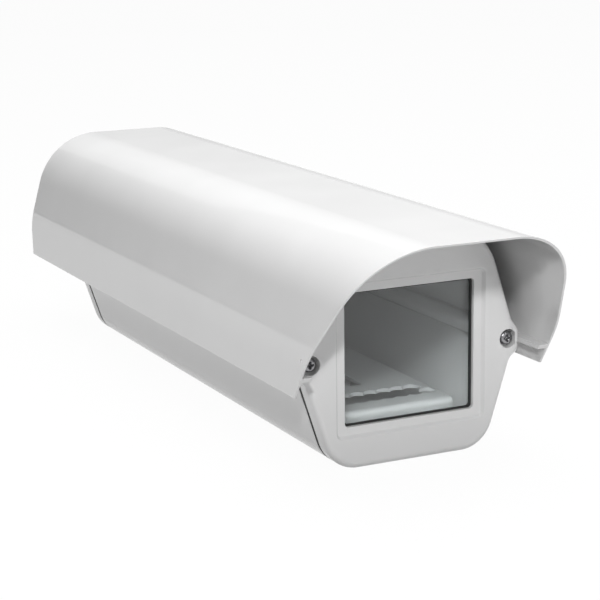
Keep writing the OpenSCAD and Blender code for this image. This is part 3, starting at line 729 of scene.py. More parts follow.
@dataclass(frozen=True)
class BodyShell:
    """The extruded body, with its rail fins and the holes in its floor."""

    housing: Housing
    wall: float = 2.5 * MM
    floor: float = 3.5 * MM
    fin_x: float = 72.4 * MM
    fins: tuple[Point, Point] = ((53.2 * MM, 56.2 * MM), (59.5 * MM, 61.7 * MM))
    edge: float = 0.3 * MM
    port_radius: float = 2.05 * MM
    screw_hole_radius: float = 2.25 * MM
    countersink_radius: float = 4.0 * MM
    bracket_hole_radius: float = 5.15 * MM
    bracket_half: Point = (20.0 * MM, 35.0 * MM)

    def outer(self) -> Outline:
        """Outer outline with the ears and both rail fins."""
        h = self.housing
        lower, upper = h.base_corners(0.0)
        foot_low, side_low, side_high, foot_high = h.ear()
        (low0, low1), (up0, up1) = self.fins
        tip, root = 0.35 * MM, 0.3 * MM
        ear_x = h.ear_x
        shoulder = 0.5 * MM
        return Outline(mirrored((
            lower,
            foot_low,
            Corner(ear_x - shoulder, side_low.z - shoulder / math.tan(h.ear_lean_down), 1.5 * MM, 4),
            Corner(ear_x - 0.24 * MM, low0, root, 2),
            Corner(self.fin_x, low0, tip, 3),
            Corner(self.fin_x, low1, tip, 3),
            Corner(ear_x, low1, root, 3),
            Corner(ear_x, up0, root, 3),
            Corner(self.fin_x, up0, tip, 3),
            Corner(self.fin_x, up1, tip, 3),
            Corner(ear_x, up1, root, 3),
            side_high,
            foot_high,
            upper)))

    def build(self) -> bpy.types.Object:
        """Extrudes the section and drills the floor."""
        h = self.housing
        front, rear = h.body_low.y, h.body_high.y
        piece = Piece()
        ends = [*soft_edge(front, 1.0, self.edge), *reversed(soft_edge(rear, -1.0, self.edge))]
        outer = piece.wall(self.outer(), ends)
        inner = piece.wall(h.hollow(self.wall, h.boss_radius, self.floor), [(0.0, front), (0.0, rear)])
        thread = [(self.port_radius, front), (self.port_radius, rear)]
        ports = [piece.tube(x, z, thread, 32) for x, z in h.screw_places()]
        piece.close(outer, inner, *ports)
        made = piece.finish("body_extrusion")
        hole, head = self.screw_hole_radius, self.countersink_radius
        over, through, cone = 1.0 * MM, 5.0 * MM, 2.2 * MM
        countersunk = [(head + 0.85 * MM, -over), (head, 0.0), (hole, cone), (hole, through)]
        plain = [(self.bracket_hole_radius, -over), (self.bracket_hole_radius, through)]
        spots = []
        for node in ("tray_screws", "bracket_plate_screws"):
            spots += [(x, y, countersunk) for x, y in screw_spots(node)]
        half_x, half_y = self.bracket_half
        spots += [(x, y, plain) for x in (-half_x, half_x) for y in (-half_y, half_y)]
        cut(made, [drill(Vector((x, y, 0.0)), UPWARDS, profile) for x, y, profile in spots])
        return made


def screw_spots(node: str) -> list[Point]:
    """Places in X and Y of the upright screws that share a CAD node.

    Args:
        node: the CAD node.

    Returns:
        One place for each corner or end of the group, worked out from its box.
    """
    low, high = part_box(node)
    head = 3.8 * MM
    xs = sorted({round(low.x + head, 5), round(high.x - head, 5)})
    ys = sorted({round(low.y + head, 5), round(high.y - head, 5)})
    return [(x, y) for x in xs for y in ys]


@dataclass(frozen=True)
class Casting:
    """What both end castings share: soft edges, and counterbored ears for the screws."""

    housing: Housing
    edge_radius: float = 3.5 * MM
    joint_radius: float = 0.3 * MM
    wall: float = 3.6 * MM
    counterbore_radius: float = 5.2 * MM
    counterbore_depth: float = 5.0 * MM
    counterbore_edge: float = 0.4 * MM
    boss_radius: float = 7.2 * MM

    def outside(self, piece: Piece, joint_y: float, face_y: float) -> list[Ring]:
        """Adds the outer wall, from the joint to the rounded outer face.

        Args:
            piece: the mesh under construction.
            joint_y: where the casting meets its gasket.
            face_y: where its outer face lies.

        Returns:
            The wall's rings, in order.
        """
        inward = math.copysign(1.0, joint_y - face_y)
        joint = soft_edge(joint_y, -inward, self.joint_radius)
        face = soft_edge(face_y, inward, self.edge_radius, 9)
        return piece.wall(self.housing.eared(), [*joint, *reversed(face)])

    def bores(self, piece: Piece, joint_y: float, face_y: float) -> list[list[Ring]]:
        """Adds the counterbored screw holes.

        Args:
            piece: the mesh under construction.
            joint_y: where the casting meets its gasket.
            face_y: where its outer face lies.

        Returns:
            The rings of each hole, from the face to the joint.
        """
        inward = math.copysign(1.0, joint_y - face_y)
        seat_y = face_y + inward * self.counterbore_depth
        wide, narrow = self.counterbore_radius, self.housing.screw_hole_radius
        flare = [(wide + i, y) for i, y in soft_edge(face_y, inward, self.counterbore_edge)]
        steps = [*flare, (wide, seat_y), (narrow, seat_y), (narrow, joint_y)]
        return [piece.tube(x, z, steps) for x, z in self.housing.screw_places()]


@dataclass(frozen=True)
class FrontBezel(Casting):
    """The front casting, with its sunk window border and glass pocket."""

    window_width: float = 78.5 * MM
    window_height: float = 72.5 * MM
    window_z: float = 59.3 * MM
    border_x: float = 5.9 * MM
    border_z: float = 5.5 * MM
    border_depth: float = 2.2 * MM
    border_draft: float = 0.9 * MM
    border_radius: float = 3.0 * MM
    window_radius: float = 2.0 * MM
    pocket_gap: float = 0.3 * MM
    rim_radius: float = 6.0 * MM

    def round_box(self, node: str, play: float, radius: float) -> Outline:
        """Rectangle about the window's middle that takes a CAD node.

        Args:
            node: the CAD node.
            play: how much wider and taller than the node it is.
            radius: radius of its corners.

        Returns:
            The outline.
        """
        low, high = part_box(node)
        return rectangle(0.0, self.window_z, high.x - low.x + play, high.z - low.z + play, radius)

    def build(self) -> bpy.types.Object:
        """Builds the casting as one closed mesh."""
        low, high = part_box("front_bezel")
        front, back = low.y, high.y
        piece = Piece()
        outer = self.outside(piece, back, front)
        border = rectangle(
            0.0, self.window_z, self.window_width + 2.0 * self.border_x,
            self.window_height + 2.0 * self.border_z, self.border_radius, 8)
        floor_y = front + self.border_depth
        lead = [(-i, y) for i, y in soft_edge(front, 1.0, 0.45 * MM)]
        root = [(i + self.border_draft, y) for i, y in reversed(soft_edge(floor_y, -1.0, 0.5 * MM))]
        border_rings = piece.wall(border, [*lead, *root])
        window = rectangle(
            0.0, self.window_z, self.window_width, self.window_height, self.window_radius, 8)
        lip_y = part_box("window_seal")[0].y
        frame = [(-i, y) for i, y in soft_edge(floor_y, 1.0, 0.4 * MM)]
        window_rings = piece.wall(window, [*frame, (0.0, lip_y)])
        pocket = self.round_box("window_glass", 2.0 * self.pocket_gap, 1.0 * MM)
        pocket_rings = piece.wall(pocket, [(0.0, lip_y), (0.0, back)])
        rim = self.round_box("window_retainer", self.pocket_gap, self.rim_radius)
        hollow_y = front + self.wall
        rim_rings = piece.wall(rim, [(0.0, back), (0.0, hollow_y)])
        inside = self.housing.hollow(self.wall, self.boss_radius)
        hollow_rings = piece.wall(inside, [(0.0, hollow_y), (0.0, back)])
        bores = self.bores(piece, back, front)
        piece.cap(outer[-1], [border_rings[0], *(b[0] for b in bores)])
        piece.cap(border_rings[-1], [window_rings[0]])
        piece.cap(pocket_rings[0], [window_rings[-1]])
        piece.cap(rim_rings[0], [pocket_rings[-1]])
        piece.cap(hollow_rings[0], [rim_rings[-1]])
        piece.cap(outer[0], [hollow_rings[-1], *(b[-1] for b in bores)])
        return piece.finish("bezel_casting")


@dataclass(frozen=True)
class RearCap(Casting):
    """The rear casting, with its three cable entries."""

    plate: float = 4.0 * MM
    entry_radius: float = 10.0 * MM

    def build(self) -> bpy.types.Object:
        """Builds the casting as one closed mesh."""
        low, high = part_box("rear_cap")
        front, back = low.y, high.y
        plate_y = back - self.plate
        piece = Piece()
        outer = self.outside(piece, front, back)
        inside = self.housing.hollow(self.wall, self.boss_radius)
        hollow = piece.wall(inside, [(0.0, front), (0.0, plate_y)])
        bores = self.bores(piece, front, back)
        entries = [
            piece.tube(x, z, [(self.entry_radius, back), (self.entry_radius, plate_y)], 64)
            for x, z in gland_places()]
        piece.cap(outer[-1], [*(b[0] for b in bores), *(e[0] for e in entries)])
        piece.cap(hollow[-1], [e[-1] for e in entries])
        piece.cap(outer[0], [hollow[0], *(b[-1] for b in bores)])
        return piece.finish("rear_casting")


def gland_places() -> list[Point]:
    """Axes of the three cable entries, from the glands' boxes."""
    middles = [middle(node) for node in ("gland_body_left", "blanking_plug", "gland_body_right")]
    return [(x, z) for x, _, z in middles]


@dataclass(frozen=True)
class Gasket:
    """Rubber ring clamped between the extrusion and a casting."""

    housing: Housing
    node: str
    set_back: float = 0.2 * MM
    width: float = 3.0 * MM
    edge: float = 0.06 * MM

    def build(self) -> bpy.types.Object:
        """Builds the ring with its two screw pads."""
        h = self.housing
        low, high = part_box(self.node)
        piece = Piece()
        sides = [*soft_edge(low.y, 1.0, self.edge), *reversed(soft_edge(high.y, -1.0, self.edge))]
        outer = piece.wall(h.eared(), [(self.set_back + inset, y) for inset, y in sides])
        ends = [(0.0, low.y), (0.0, high.y)]
        inner = piece.wall(h.hollow(self.set_back + self.width, h.boss_radius), ends)
        holes = [
            piece.tube(x, z, [(h.screw_hole_radius, low.y), (h.screw_hole_radius, high.y)], 32)
            for x, z in h.screw_places()]
        piece.close(outer, inner, *holes)
        return piece.finish(f"{self.node}_ring")


@dataclass(frozen=True)
class Window:
    """The glass and its black seal."""

    bezel: FrontBezel
    seal_show: float = 1.0 * MM

    def glass(self) -> bpy.types.Object:
        """Builds the sheet of glass with ground edges."""
        low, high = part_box("window_glass")
        sheet = rectangle(0.0, middle("window_glass")[2], high.x - low.x, high.z - low.z, 1.0 * MM)
        piece = Piece()
        rings = piece.wall(
            sheet, [*soft_edge(low.y, 1.0, 0.3 * MM, 1), *reversed(soft_edge(high.y, -1.0, 0.3 * MM, 1))])
        piece.close(rings)
        return piece.finish("window_sheet")

    def seal(self) -> bpy.types.Object:
        """Builds the seal, whose inner edge shows round the glass."""
        b = self.bezel
        low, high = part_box("window_seal")
        outline = rectangle(0.0, b.window_z, high.x - low.x, high.z - low.z, 1.0 * MM)
        inside = rectangle(
            0.0, b.window_z, b.window_width - 2.0 * self.seal_show,
            b.window_height - 2.0 * self.seal_show, 2.0 * MM)
        piece = Piece()
        outer = piece.wall(outline, [(0.0, low.y), (0.0, high.y)])
        inner = piece.wall(inside, [*((-i, y) for i, y in soft_edge(low.y, 1.0, 0.35 * MM)), (0.0, high.y)])
        piece.close(outer, inner)
        return piece.finish("window_seal_ring")


@dataclass(frozen=True)
class Sunshade:
    """The extruded hood, cut to a raked front edge and a leaning rear edge."""

    half_width: float
    top: float
    low: float
    sheet: float = 1.3 * MM
    knee_z: float = 71.1 * MM
    knee_radius: float = 60.0 * MM
    corner_radius: float = 45.3 * MM
    tilt: float = math.radians(16.5)
    rib_z: tuple[float, float] = (56.5 * MM, 59.2 * MM)
    rib_x: float = 68.3 * MM
    front_y: float = -190.0 * MM
    rear_y: float = 237.0 * MM
    rake: float = math.tan(math.radians(33.3))
    lean: float = math.tan(math.radians(3.0))
    edge: float = 0.3 * MM
    pin_hole: tuple[float, float] = (-198.2 * MM, 68.9 * MM)
    pin_hole_radius: float = 0.9 * MM
    front_bands: tuple[float, float] = (2.4 * MM, 8.8 * MM)
    pin_hole_deep: tuple[float, float] = (-2.0 * MM, 6.0 * MM)

    @classmethod
    def from_frame(cls) -> Sunshade:
        """Takes the hood's width and heights from the CAD model."""
        low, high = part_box("sunshade")
        return cls(high.x, high.z, low.z)

    def outer_corners(self, inset: float) -> list[Corner]:
        """Knee and upper corner on the right, moved inwards."""
        steep = math.tan(self.tilt)
        shift = inset / math.cos(self.tilt)
        knee = self.knee_z - (shift - inset) / steep
        reach = self.half_width - shift - (self.top - inset - self.knee_z) * steep
        return [
            Corner(self.half_width - inset, knee, self.knee_radius - inset, 12),
            Corner(reach, self.top - inset, self.corner_radius - inset, 32)]

    def section(self) -> Outline:
        """One closed outline of sheet, skirts and ribs."""
        tip = 0.4 * MM
        outer = [Corner(self.half_width, self.low, 0.5 * MM, 3), *self.outer_corners(0.0)]
        left_outer = [replace(c, x=-c.x) for c in reversed(outer)]
        inner_x = self.half_width - self.sheet
        rib_low, rib_high = self.rib_z
        inner = [
            Corner(inner_x, self.low, 0.5 * MM, 3),
            Corner(inner_x, rib_low, tip, 3),
            Corner(self.rib_x, rib_low, tip, 3),
            Corner(self.rib_x, rib_high, tip, 3),
            Corner(inner_x, rib_high, tip, 3),
            *self.outer_corners(self.sheet)]
        left_inner = [replace(c, x=-c.x) for c in inner]
        return Outline((*outer, *left_outer, *left_inner, *reversed(inner)))

    def build(self) -> bpy.types.Object:
        """Extrudes the section between its slanted ends and drills the small hole."""
        outline = self.section()
        piece = Piece()
        rings = []
        stations = [*((i, y, True) for i, y in soft_edge(0.0, 1.0, self.edge))]
        stations += [(0.0, reach, True) for reach in self.front_bands]
        stations += [(i, y, False) for i, y in reversed(soft_edge(0.0, -1.0, self.edge))]
        for inset, offset, at_front in stations:
            ring = []
            for x, z in outline.points(inset):
                rise = z - self.low
                end = self.front_y - rise * self.rake if at_front else self.rear_y + rise * self.lean
                ring.append((x, end + offset, z))
            rings.append(piece.ring(ring))
        piece.bands(rings)
        piece.close(rings)
        made = piece.finish("hood_sheet")
        start = Vector((-self.half_width, *self.pin_hole))
        hole = [(self.pin_hole_radius, reach) for reach in self.pin_hole_deep]
        cut(made, [drill(start, Vector((1.0, 0.0, 0.0)), hole, 20)])
        return made


# Fasteners


@dataclass(frozen=True)
class PanScrew:
    """Pan head screw with a cross recess, along Y."""

    head_radius: float = 4.0 * MM
    head_height: float = 3.1 * MM
    shank_radius: float = 2.0 * MM
    crown_share: float = 0.48
    rim_share: float = 0.35
    recess_share: float = 0.62
    chamfer: float = 0.15 * MM
    wing_top: Point = (0.60, 0.62 * MM)
    wing_foot: Point = (0.34, 0.46 * MM)

    def build(self, x: float, z: float, seat_y: float, facing: float, length: float) -> bpy.types.Object:
        """Builds one screw.

        Args:
            x: the axis's X.
            z: the axis's Z.
            seat_y: where the head's seat lies.
            facing: 1 or -1, the way along Y that the head points.
            length: length of the shank.

        Returns:
            The screw.
        """
        dome = []
        for k in range(9):
            angle = math.pi / 2.0 * k / 8.0
            radius = self.head_radius * (self.crown_share + (1.0 - self.crown_share) * math.cos(angle))
            rise = self.head_height * (self.rim_share + (1.0 - self.rim_share) * math.sin(angle))
            dome.append((radius, seat_y + facing * rise))
        profile = [
            (self.shank_radius * 0.75, seat_y - facing * length),
            (self.shank_radius, seat_y - facing * (length - 0.8 * MM)),
            (self.shank_radius, seat_y), (self.head_radius - self.chamfer, seat_y),
            (self.head_radius, seat_y + facing * self.chamfer), *dome]
        piece = Piece()
        rings = piece.tube(x, z, profile, 56)
        piece.close(rings)
        made = piece.finish("pan_screw", 40.0)
        top = seat_y + facing * self.head_height
        depth = facing * self.head_height * self.recess_share
        wings = []
        for angle in (0.0, math.pi / 2.0):
            wing = Piece()
            rings = []
            for y, (share, half) in ((top + facing * 0.5 * MM, self.wing_top), (top - depth, self.wing_foot)):
                along = Vector((math.cos(angle), 0.0, math.sin(angle))) * (self.head_radius * share)
                across = Vector((-math.sin(angle), 0.0, math.cos(angle))) * half
                centre = Vector((x, y, z))
                rings.append(wing.ring(
                    (centre + along + across, centre - along + across, centre - along - across,
                     centre + along - across)))
            wing.bands(rings)
            wing.close(rings)
            wings.append(wing.finish("wing"))
        tip = drill(
            Vector((x, top, z)), Vector((0.0, -facing, 0.0)),
            [(1.45 * MM, -0.5 * MM), (0.5 * MM, abs(depth) * 1.25)], 24)
        cut(made, [*wings, tip], 40.0)
        return made


@dataclass(frozen=True)
class SpringWasher:
    """Split ring of square section under a screw head, slightly sprung along Y."""

    inner: float = 2.15 * MM
    outer: float = 3.8 * MM
    gap_deg: float = 16.0
    gap_at_deg: float = 70.0
    thick_share: float = 0.86
    steps: int = 44

    def build(self, x: float, z: float, low_y: float, high_y: float) -> bpy.types.Object:
        """Builds one washer between two places along Y."""
        piece = Piece()
        rings = []
        thick = (high_y - low_y) * self.thick_share
        for k in range(self.steps + 1):
            part = k / self.steps
            angle = math.radians(self.gap_at_deg + self.gap_deg / 2.0 + (360.0 - self.gap_deg) * part)
            way = Vector((math.cos(angle), 0.0, math.sin(angle)))
            y = low_y + (high_y - low_y - thick) * part
            spots = ((self.inner, y), (self.outer, y), (self.outer, y + thick), (self.inner, y + thick))
            rings.append(piece.ring(Vector((x, b, z)) + way * a for a, b in spots))
        piece.bands(rings)
        piece.close(rings)
        return piece.finish("spring_washer")


@dataclass(frozen=True)
class EndFasteners:
    """Screws and spring washers of one casting."""

    housing: Housing
    screws_node: str
    washers_node: str
    facing: float

    def screws(self) -> bpy.types.Object:
        """Builds both screws as one piece."""
        low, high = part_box(self.screws_node)
        washer_low, washer_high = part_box(self.washers_node)
        seat_y = washer_low.y if self.facing < 0.0 else washer_high.y
        tip = high.y if self.facing < 0.0 else low.y
        length = abs(tip - seat_y)
        places = self.housing.screw_places()
        made = [PanScrew().build(x, z, seat_y, self.facing, length) for x, z in places]
        return merged(f"{self.screws_node}_pair", made, 40.0)

    def washers(self) -> bpy.types.Object:
        """Builds both spring washers as one piece."""
        low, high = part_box(self.washers_node)
        made = [SpringWasher().build(x, z, low.y, high.y) for x, z in self.housing.screw_places()]
        return merged(f"{self.washers_node}_pair", made)


# Cable glands


def hexagon_radius(flats: float, angle: float) -> float:
    """Reach of a hexagon at an angle, by its width across flats."""
    sixth = math.pi / 3.0
    return flats / 2.0 / math.cos((angle % sixth) - sixth / 2.0)


def hexagon_rings(piece: Piece, x: float, z: float, flats: float, steps: Sequence[tuple[float, float]],
                  count: int = 96) -> list[Ring]:
    """Adds a hexagonal wall along Y whose corners are turned down.

    Args:
        piece: the mesh under construction.
        x: the axis's X.
        z: the axis's Z.
        flats: width across flats.
        steps: pairs of the turned radius and the place along Y.
        count: points of each ring.

    Returns:
        The wall's rings, in order.
    """
    rings = []
    for limit, y in steps:
        ring = []
        for k in range(count):
            angle = 2.0 * math.pi * k / count
            reach = min(hexagon_radius(flats, angle), limit)
            ring.append((x + reach * math.cos(angle), y, z + reach * math.sin(angle)))
        rings.append(piece.ring(ring))
    piece.bands(rings)
    return rings


@dataclass(frozen=True)
class Gland:
    """One cable gland: body, rubber seal and domed cap nut."""

    side: str
    flats: float = 24.0 * MM
    corner: float = 13.86 * MM
    turned: float = 12.6 * MM
    chamfer: float = 0.7 * MM
    neck: float = 9.0 * MM
    thread: float = 9.9 * MM
    seal_radius: float = 7.0 * MM
    bore: float = 4.0 * MM
    mouth: float = 5.5 * MM

    def place(self) -> tuple[float, float]:
        """The gland's axis."""
        x, _, z = middle(f"gland_body_{self.side}")
        return x, z

    def body(self) -> bpy.types.Object:
        """Builds the threaded body with its chamfered hexagon."""
        x, z = self.place()
        low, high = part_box(f"gland_body_{self.side}")
        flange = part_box("gland_face_washers")[1].y
        shoulder = flange + 5.0 * MM
        piece = Piece()
        steps = [
            (self.turned, flange), (self.corner, flange + self.chamfer), (self.corner, shoulder - 0.9 * MM),
            (12.3 * MM, shoulder)]
        hexagon = hexagon_rings(piece, x, z, self.flats, steps)
        half_pitch = 0.7 * MM
        crest, root = self.thread, self.thread - half_pitch
        tail = [(crest, flange)]
        for k in range(8):
            y = flange - 0.6 * MM - k * 2.0 * half_pitch
            tail += [(crest, y), (root, y - half_pitch)]
        tail = [(r, y) for r, y in tail if y > low.y + 0.2 * MM]
        tail.append((root, low.y))
        tail_rings = piece.tube(x, z, tail, 64)
        neck = [(self.neck, shoulder), (self.neck, high.y - 0.5 * MM), (self.neck - 0.5 * MM, high.y)]
        neck_rings = piece.tube(x, z, neck, 64)
        wide, narrow = self.seal_radius, self.seal_radius - 1.0 * MM
        steps = [(wide, high.y), (wide, shoulder), (narrow, shoulder), (narrow, low.y)]
        bore = piece.tube(x, z, steps, 64)
        piece.cap(hexagon[0], [tail_rings[0]])
        piece.cap(hexagon[-1], [neck_rings[0]])
        piece.cap(neck_rings[-1], [bore[0]])
        piece.cap(tail_rings[-1], [bore[-1]])
        return piece.finish(f"gland_{self.side}_body", 28.0)

    def seal(self) -> bpy.types.Object:
        """Builds the rubber seal with its soft mouth."""
        x, z = self.place()
        low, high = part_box(f"gland_seal_{self.side}")
        piece = Piece()
        rim = [(self.seal_radius - i, y) for i, y in reversed(soft_edge(high.y, -1.0, 1.2 * MM, 5))]
        outside = piece.tube(x, z, [(self.seal_radius, low.y), *rim], 64)
        lip = [(self.bore + i, y) for i, y in soft_edge(high.y, -1.0, 0.8 * MM, 4)]
        inside = piece.tube(x, z, [*lip, (self.bore, low.y)], 64)
        piece.close(outside, inside[::-1])
        return piece.finish(f"gland_{self.side}_seal")

    def cap_nut(self) -> bpy.types.Object:
        """Builds the hexagon nut with its dome and its open mouth."""
        x, z = self.place()
        low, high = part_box(f"gland_cap_nut_{self.side}")
        inner_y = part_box(f"gland_seal_{self.side}")[1].y + 0.3 * MM
        length = high.y - low.y
        hexagon_end = low.y + length * 0.62
        dome_y = hexagon_end + 0.9 * MM
        foot, rim = 12.0 * MM, 8.6 * MM
        dome = []
        for k in range(11):
            angle = math.pi / 2.0 * k / 10.0
            dome.append((rim + (foot - rim) * math.cos(angle), dome_y + (high.y - dome_y) * math.sin(angle)))
        steps = [
            (self.turned, low.y), (self.corner, low.y + self.chamfer), (self.corner, hexagon_end - 0.2 * MM),
            *dome]
        piece = Piece()
        outside = hexagon_rings(piece, x, z, self.flats, steps)
        mouth = [(self.mouth + i, y) for i, y in soft_edge(high.y, -1.0, 0.6 * MM, 4)]
        thread = self.neck + 0.05 * MM
        inside = piece.tube(x, z, [*mouth, (self.mouth, inner_y), (thread, inner_y), (thread, low.y)], 64)
        piece.close(outside, inside[::-1])
        return piece.finish(f"gland_{self.side}_nut", 28.0)


@dataclass(frozen=True)
class EntryParts:
    """Face washers and the blanking plug of the cable entries."""

    head_radius: float = 12.0 * MM
    thread: float = 9.9 * MM
    edge: float = 0.3 * MM
    groove: float = 0.3 * MM
    coin_slot: tuple[float, float] = (16.0 * MM, 2.0 * MM)
    coin_slot_depth: float = 1.5 * MM

    def washers(self) -> bpy.types.Object:
        """Builds the three flat seals as one piece."""
        low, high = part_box("gland_face_washers")
        edges = [*soft_edge(low.y, 1.0, self.edge), *reversed(soft_edge(high.y, -1.0, self.edge))]
        rim = [(self.head_radius - i, y) for i, y in edges]
        hole = self.thread + 0.1 * MM
        made = []
        for x, z in gland_places():
            piece = Piece()
            outside = piece.tube(x, z, rim, 72)
            inside = piece.tube(x, z, [(hole, low.y), (hole, high.y)], 64)
            piece.close(outside, inside)
            made.append(piece.finish("washer"))
        return merged("entry_washers", made)

    def plug(self) -> bpy.types.Object:
        """Builds the blanking plug with its milled rim and coin slot."""
        low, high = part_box("blanking_plug")
        x, _, z = middle("blanking_plug")
        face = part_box("gland_face_washers")[1].y
        piece = Piece()
        rings = []
        count = 144
        steps = [
            (0.5 * MM, face), (0.0, face + 0.5 * MM), (0.0, high.y - 1.0 * MM),
            (0.4 * MM, high.y - 0.4 * MM), (1.2 * MM, high.y)]
        for inset, y in steps:
            ring = []
            for k in range(count):
                angle = 2.0 * math.pi * k / count
                groove = self.groove if k % 6 in (0, 1) and inset < 0.5 * MM else 0.0
                reach = self.head_radius - inset - groove
                ring.append((x + reach * math.cos(angle), y, z + reach * math.sin(angle)))
            rings.append(piece.ring(ring))
        piece.bands(rings)
        lead = 0.8 * MM
        steps = [(self.thread, face), (self.thread, low.y + lead), (self.thread - lead, low.y)]
        tail = piece.tube(x, z, steps, 64)
        piece.cap(rings[0], [tail[0]])
        piece.cap(rings[-1])
        piece.cap(tail[-1])
        made = piece.finish("blanking_plug_milled", 28.0)
        slot = Piece()
        box = rectangle(x, z, *self.coin_slot, 0.9 * MM, 5)
        ends = slot.wall(box, [(0.0, high.y - self.coin_slot_depth), (0.0, high.y + 1.0 * MM)])
        slot.close(ends)
        cut(made, [slot.finish("slot")], 28.0)
        return made


# Camera tray


@dataclass(frozen=True)
class CameraTray:
    """The folded tray with its nibbled opening and its slot."""

    sheet: float = 2.0 * MM
    top_play: float = 0.03 * MM
    fold: float = 1.0 * MM
    foot: float = 15.0 * MM
    foot_half: float = 30.0 * MM
    notch_top: float = 10.0 * MM
    punch_radius: float = 5.0 * MM
    punch_step: float = 8.4 * MM
    punch_count: int = 7
    punch_row: float = 5.0 * MM
    punch_edge: float = 1.0 * MM
    punch_back: float = 23.5 * MM
    slot_half: float = 5.0 * MM
    slot_start: float = 46.0 * MM
    slot_length: float = 180.0 * MM
    screw_hole_radius: float = 2.25 * MM
    earth_hole_radius: float = 1.55 * MM
    edge: float = 0.2 * MM

    def side_view(self) -> Outline:
        """Side view of the folded sheet in Y and Z, from the front foot round and back."""
        low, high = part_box("camera_tray")
        y0, y1, z0, z1 = low.y, high.y, low.z, high.z - self.top_play
        t, r, big = self.sheet, self.fold, self.fold + self.sheet
        return Outline((
            Corner(y0 + self.foot, z0), Corner(y0 + self.foot, z0 + t), Corner(y0 + t, z0 + t, r, 5),
            Corner(y0 + t, z1 - t, r, 5), Corner(y1 - t, z1 - t, r, 5), Corner(y1 - t, z0 + t, r, 5),
            Corner(y1 - self.foot, z0 + t), Corner(y1 - self.foot, z0), Corner(y1, z0, big, 6),
            Corner(y1, z1, big, 6), Corner(y0, z1, big, 6), Corner(y0, z0, big, 6)))

    def nibbled_points(self, half_width: float) -> list[Point]:
        """Scalloped outline of the cable opening in X and Y, about its middle line.

        Args:
            half_width: half the tray's width.

        Returns:
            The points, along the front row of strokes and back along the rear row, which lies half
            a step to the left.
        """
        r, step, row = self.punch_radius, self.punch_step, self.punch_row
        last = half_width - self.punch_edge - r
        first = last - (self.punch_count - 1) * step
        tooth = math.acos(step / 2.0 / r)
        lean = math.atan2(2.0 * row, -step / 2.0)
        found: list[Point] = []
        for rear in (False, True):
            for i in range(self.punch_count):
                x = last - (i + 0.5) * step if rear else first + i * step
                start = math.pi + tooth if i else lean
                end = 2.0 * math.pi + (-tooth if i < self.punch_count - 1 else lean)
                flip = math.pi if rear else 0.0
                steps = 8 if 0 < i < self.punch_count - 1 else 14
                for k in range(steps + 1):
                    angle = start + (end - start) * k / steps - flip
                    found.append((x + r * math.cos(angle), (row if rear else -row) + r * math.sin(angle)))
        return found

    def prism(self, points: Sequence[Point], low_z: float, high_z: float) -> bpy.types.Object:
        """Upright prism over X and Y points, used as a punch."""
        piece = Piece()
        rings = [piece.ring((x, y, z) for x, y in points) for z in (low_z, high_z)]
        piece.bands(rings)
        piece.close(rings)
        return piece.finish("punch")

    def build(self) -> bpy.types.Object:
        """Folds the sheet and punches it."""
        low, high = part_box("camera_tray")
        points, inner = (self.side_view().points(inset) for inset in (0.0, self.edge))
        left, right = low.x + self.edge, high.x - self.edge
        piece = Piece()
        rings = []
        for x, spots in ((low.x, inner), (left, points), (right, points), (high.x, inner)):
            rings.append(piece.ring((x, y, z) for y, z in spots))
        piece.bands(rings)
        piece.close(rings)
        made = piece.finish("folded_tray")
        below, above = high.z - 2.0 * self.sheet, high.z + self.sheet
        centre = low.y + self.punch_back
        nibbled = [(x, y + centre) for x, y in self.nibbled_points(high.x)]
        punches = [self.prism(nibbled, below, above)]
        slot_mid = low.y + self.slot_start + self.slot_length / 2.0
        slot = rectangle(0.0, slot_mid, 2.0 * self.slot_half, self.slot_length, self.slot_half * 0.99, 10)
        punches.append(self.prism(slot.points(), below, above))
        over = 1.0 * MM
        front, back = low.y - over, high.y + over
        for side in (-1.0, 1.0):
            near, far = sorted((side * self.foot_half, side * (high.x + 5.0 * MM)))
            corner = [(near, front), (far, front), (far, back), (near, back)]
            punches.append(self.prism(corner, low.z - over, self.notch_top))
        hole = [(self.screw_hole_radius, -over), (self.screw_hole_radius, 2.0 * self.sheet)]
        for x, y in screw_spots("tray_screws"):
            punches.append(drill(Vector((x, y, low.z)), UPWARDS, hole, 24))
        x, y, _ = middle("earth_washer")
        earth_hole = [(self.earth_hole_radius, 0.0), (self.earth_hole_radius, above - below)]
        punches.append(drill(Vector((x, y, below)), UPWARDS, earth_hole, 24))
        cut(made, punches)
        return made


# The whole housing


KEPT_NODES: dict[str, Slot] = {
    "window_retainer": Slot.ALUMINIUM,
    "retainer_screws": Slot.STEEL,
    "shade_lock_screws": Slot.STEEL,
    "tray_screws": Slot.STEEL,
    "tray_nuts": Slot.STEEL,
    "camera_bush": Slot.NYLON_WHITE,
    "camera_washer": Slot.GASKET,
    "camera_screw": Slot.STEEL,
    "bracket_plate": Slot.ALUMINIUM,
    "bracket_plate_screws": Slot.STEEL,
    "gland_locknuts": Slot.NYLON_BLACK,
    "earth_screw": Slot.BRASS,
    "earth_washer": Slot.BRASS,
}


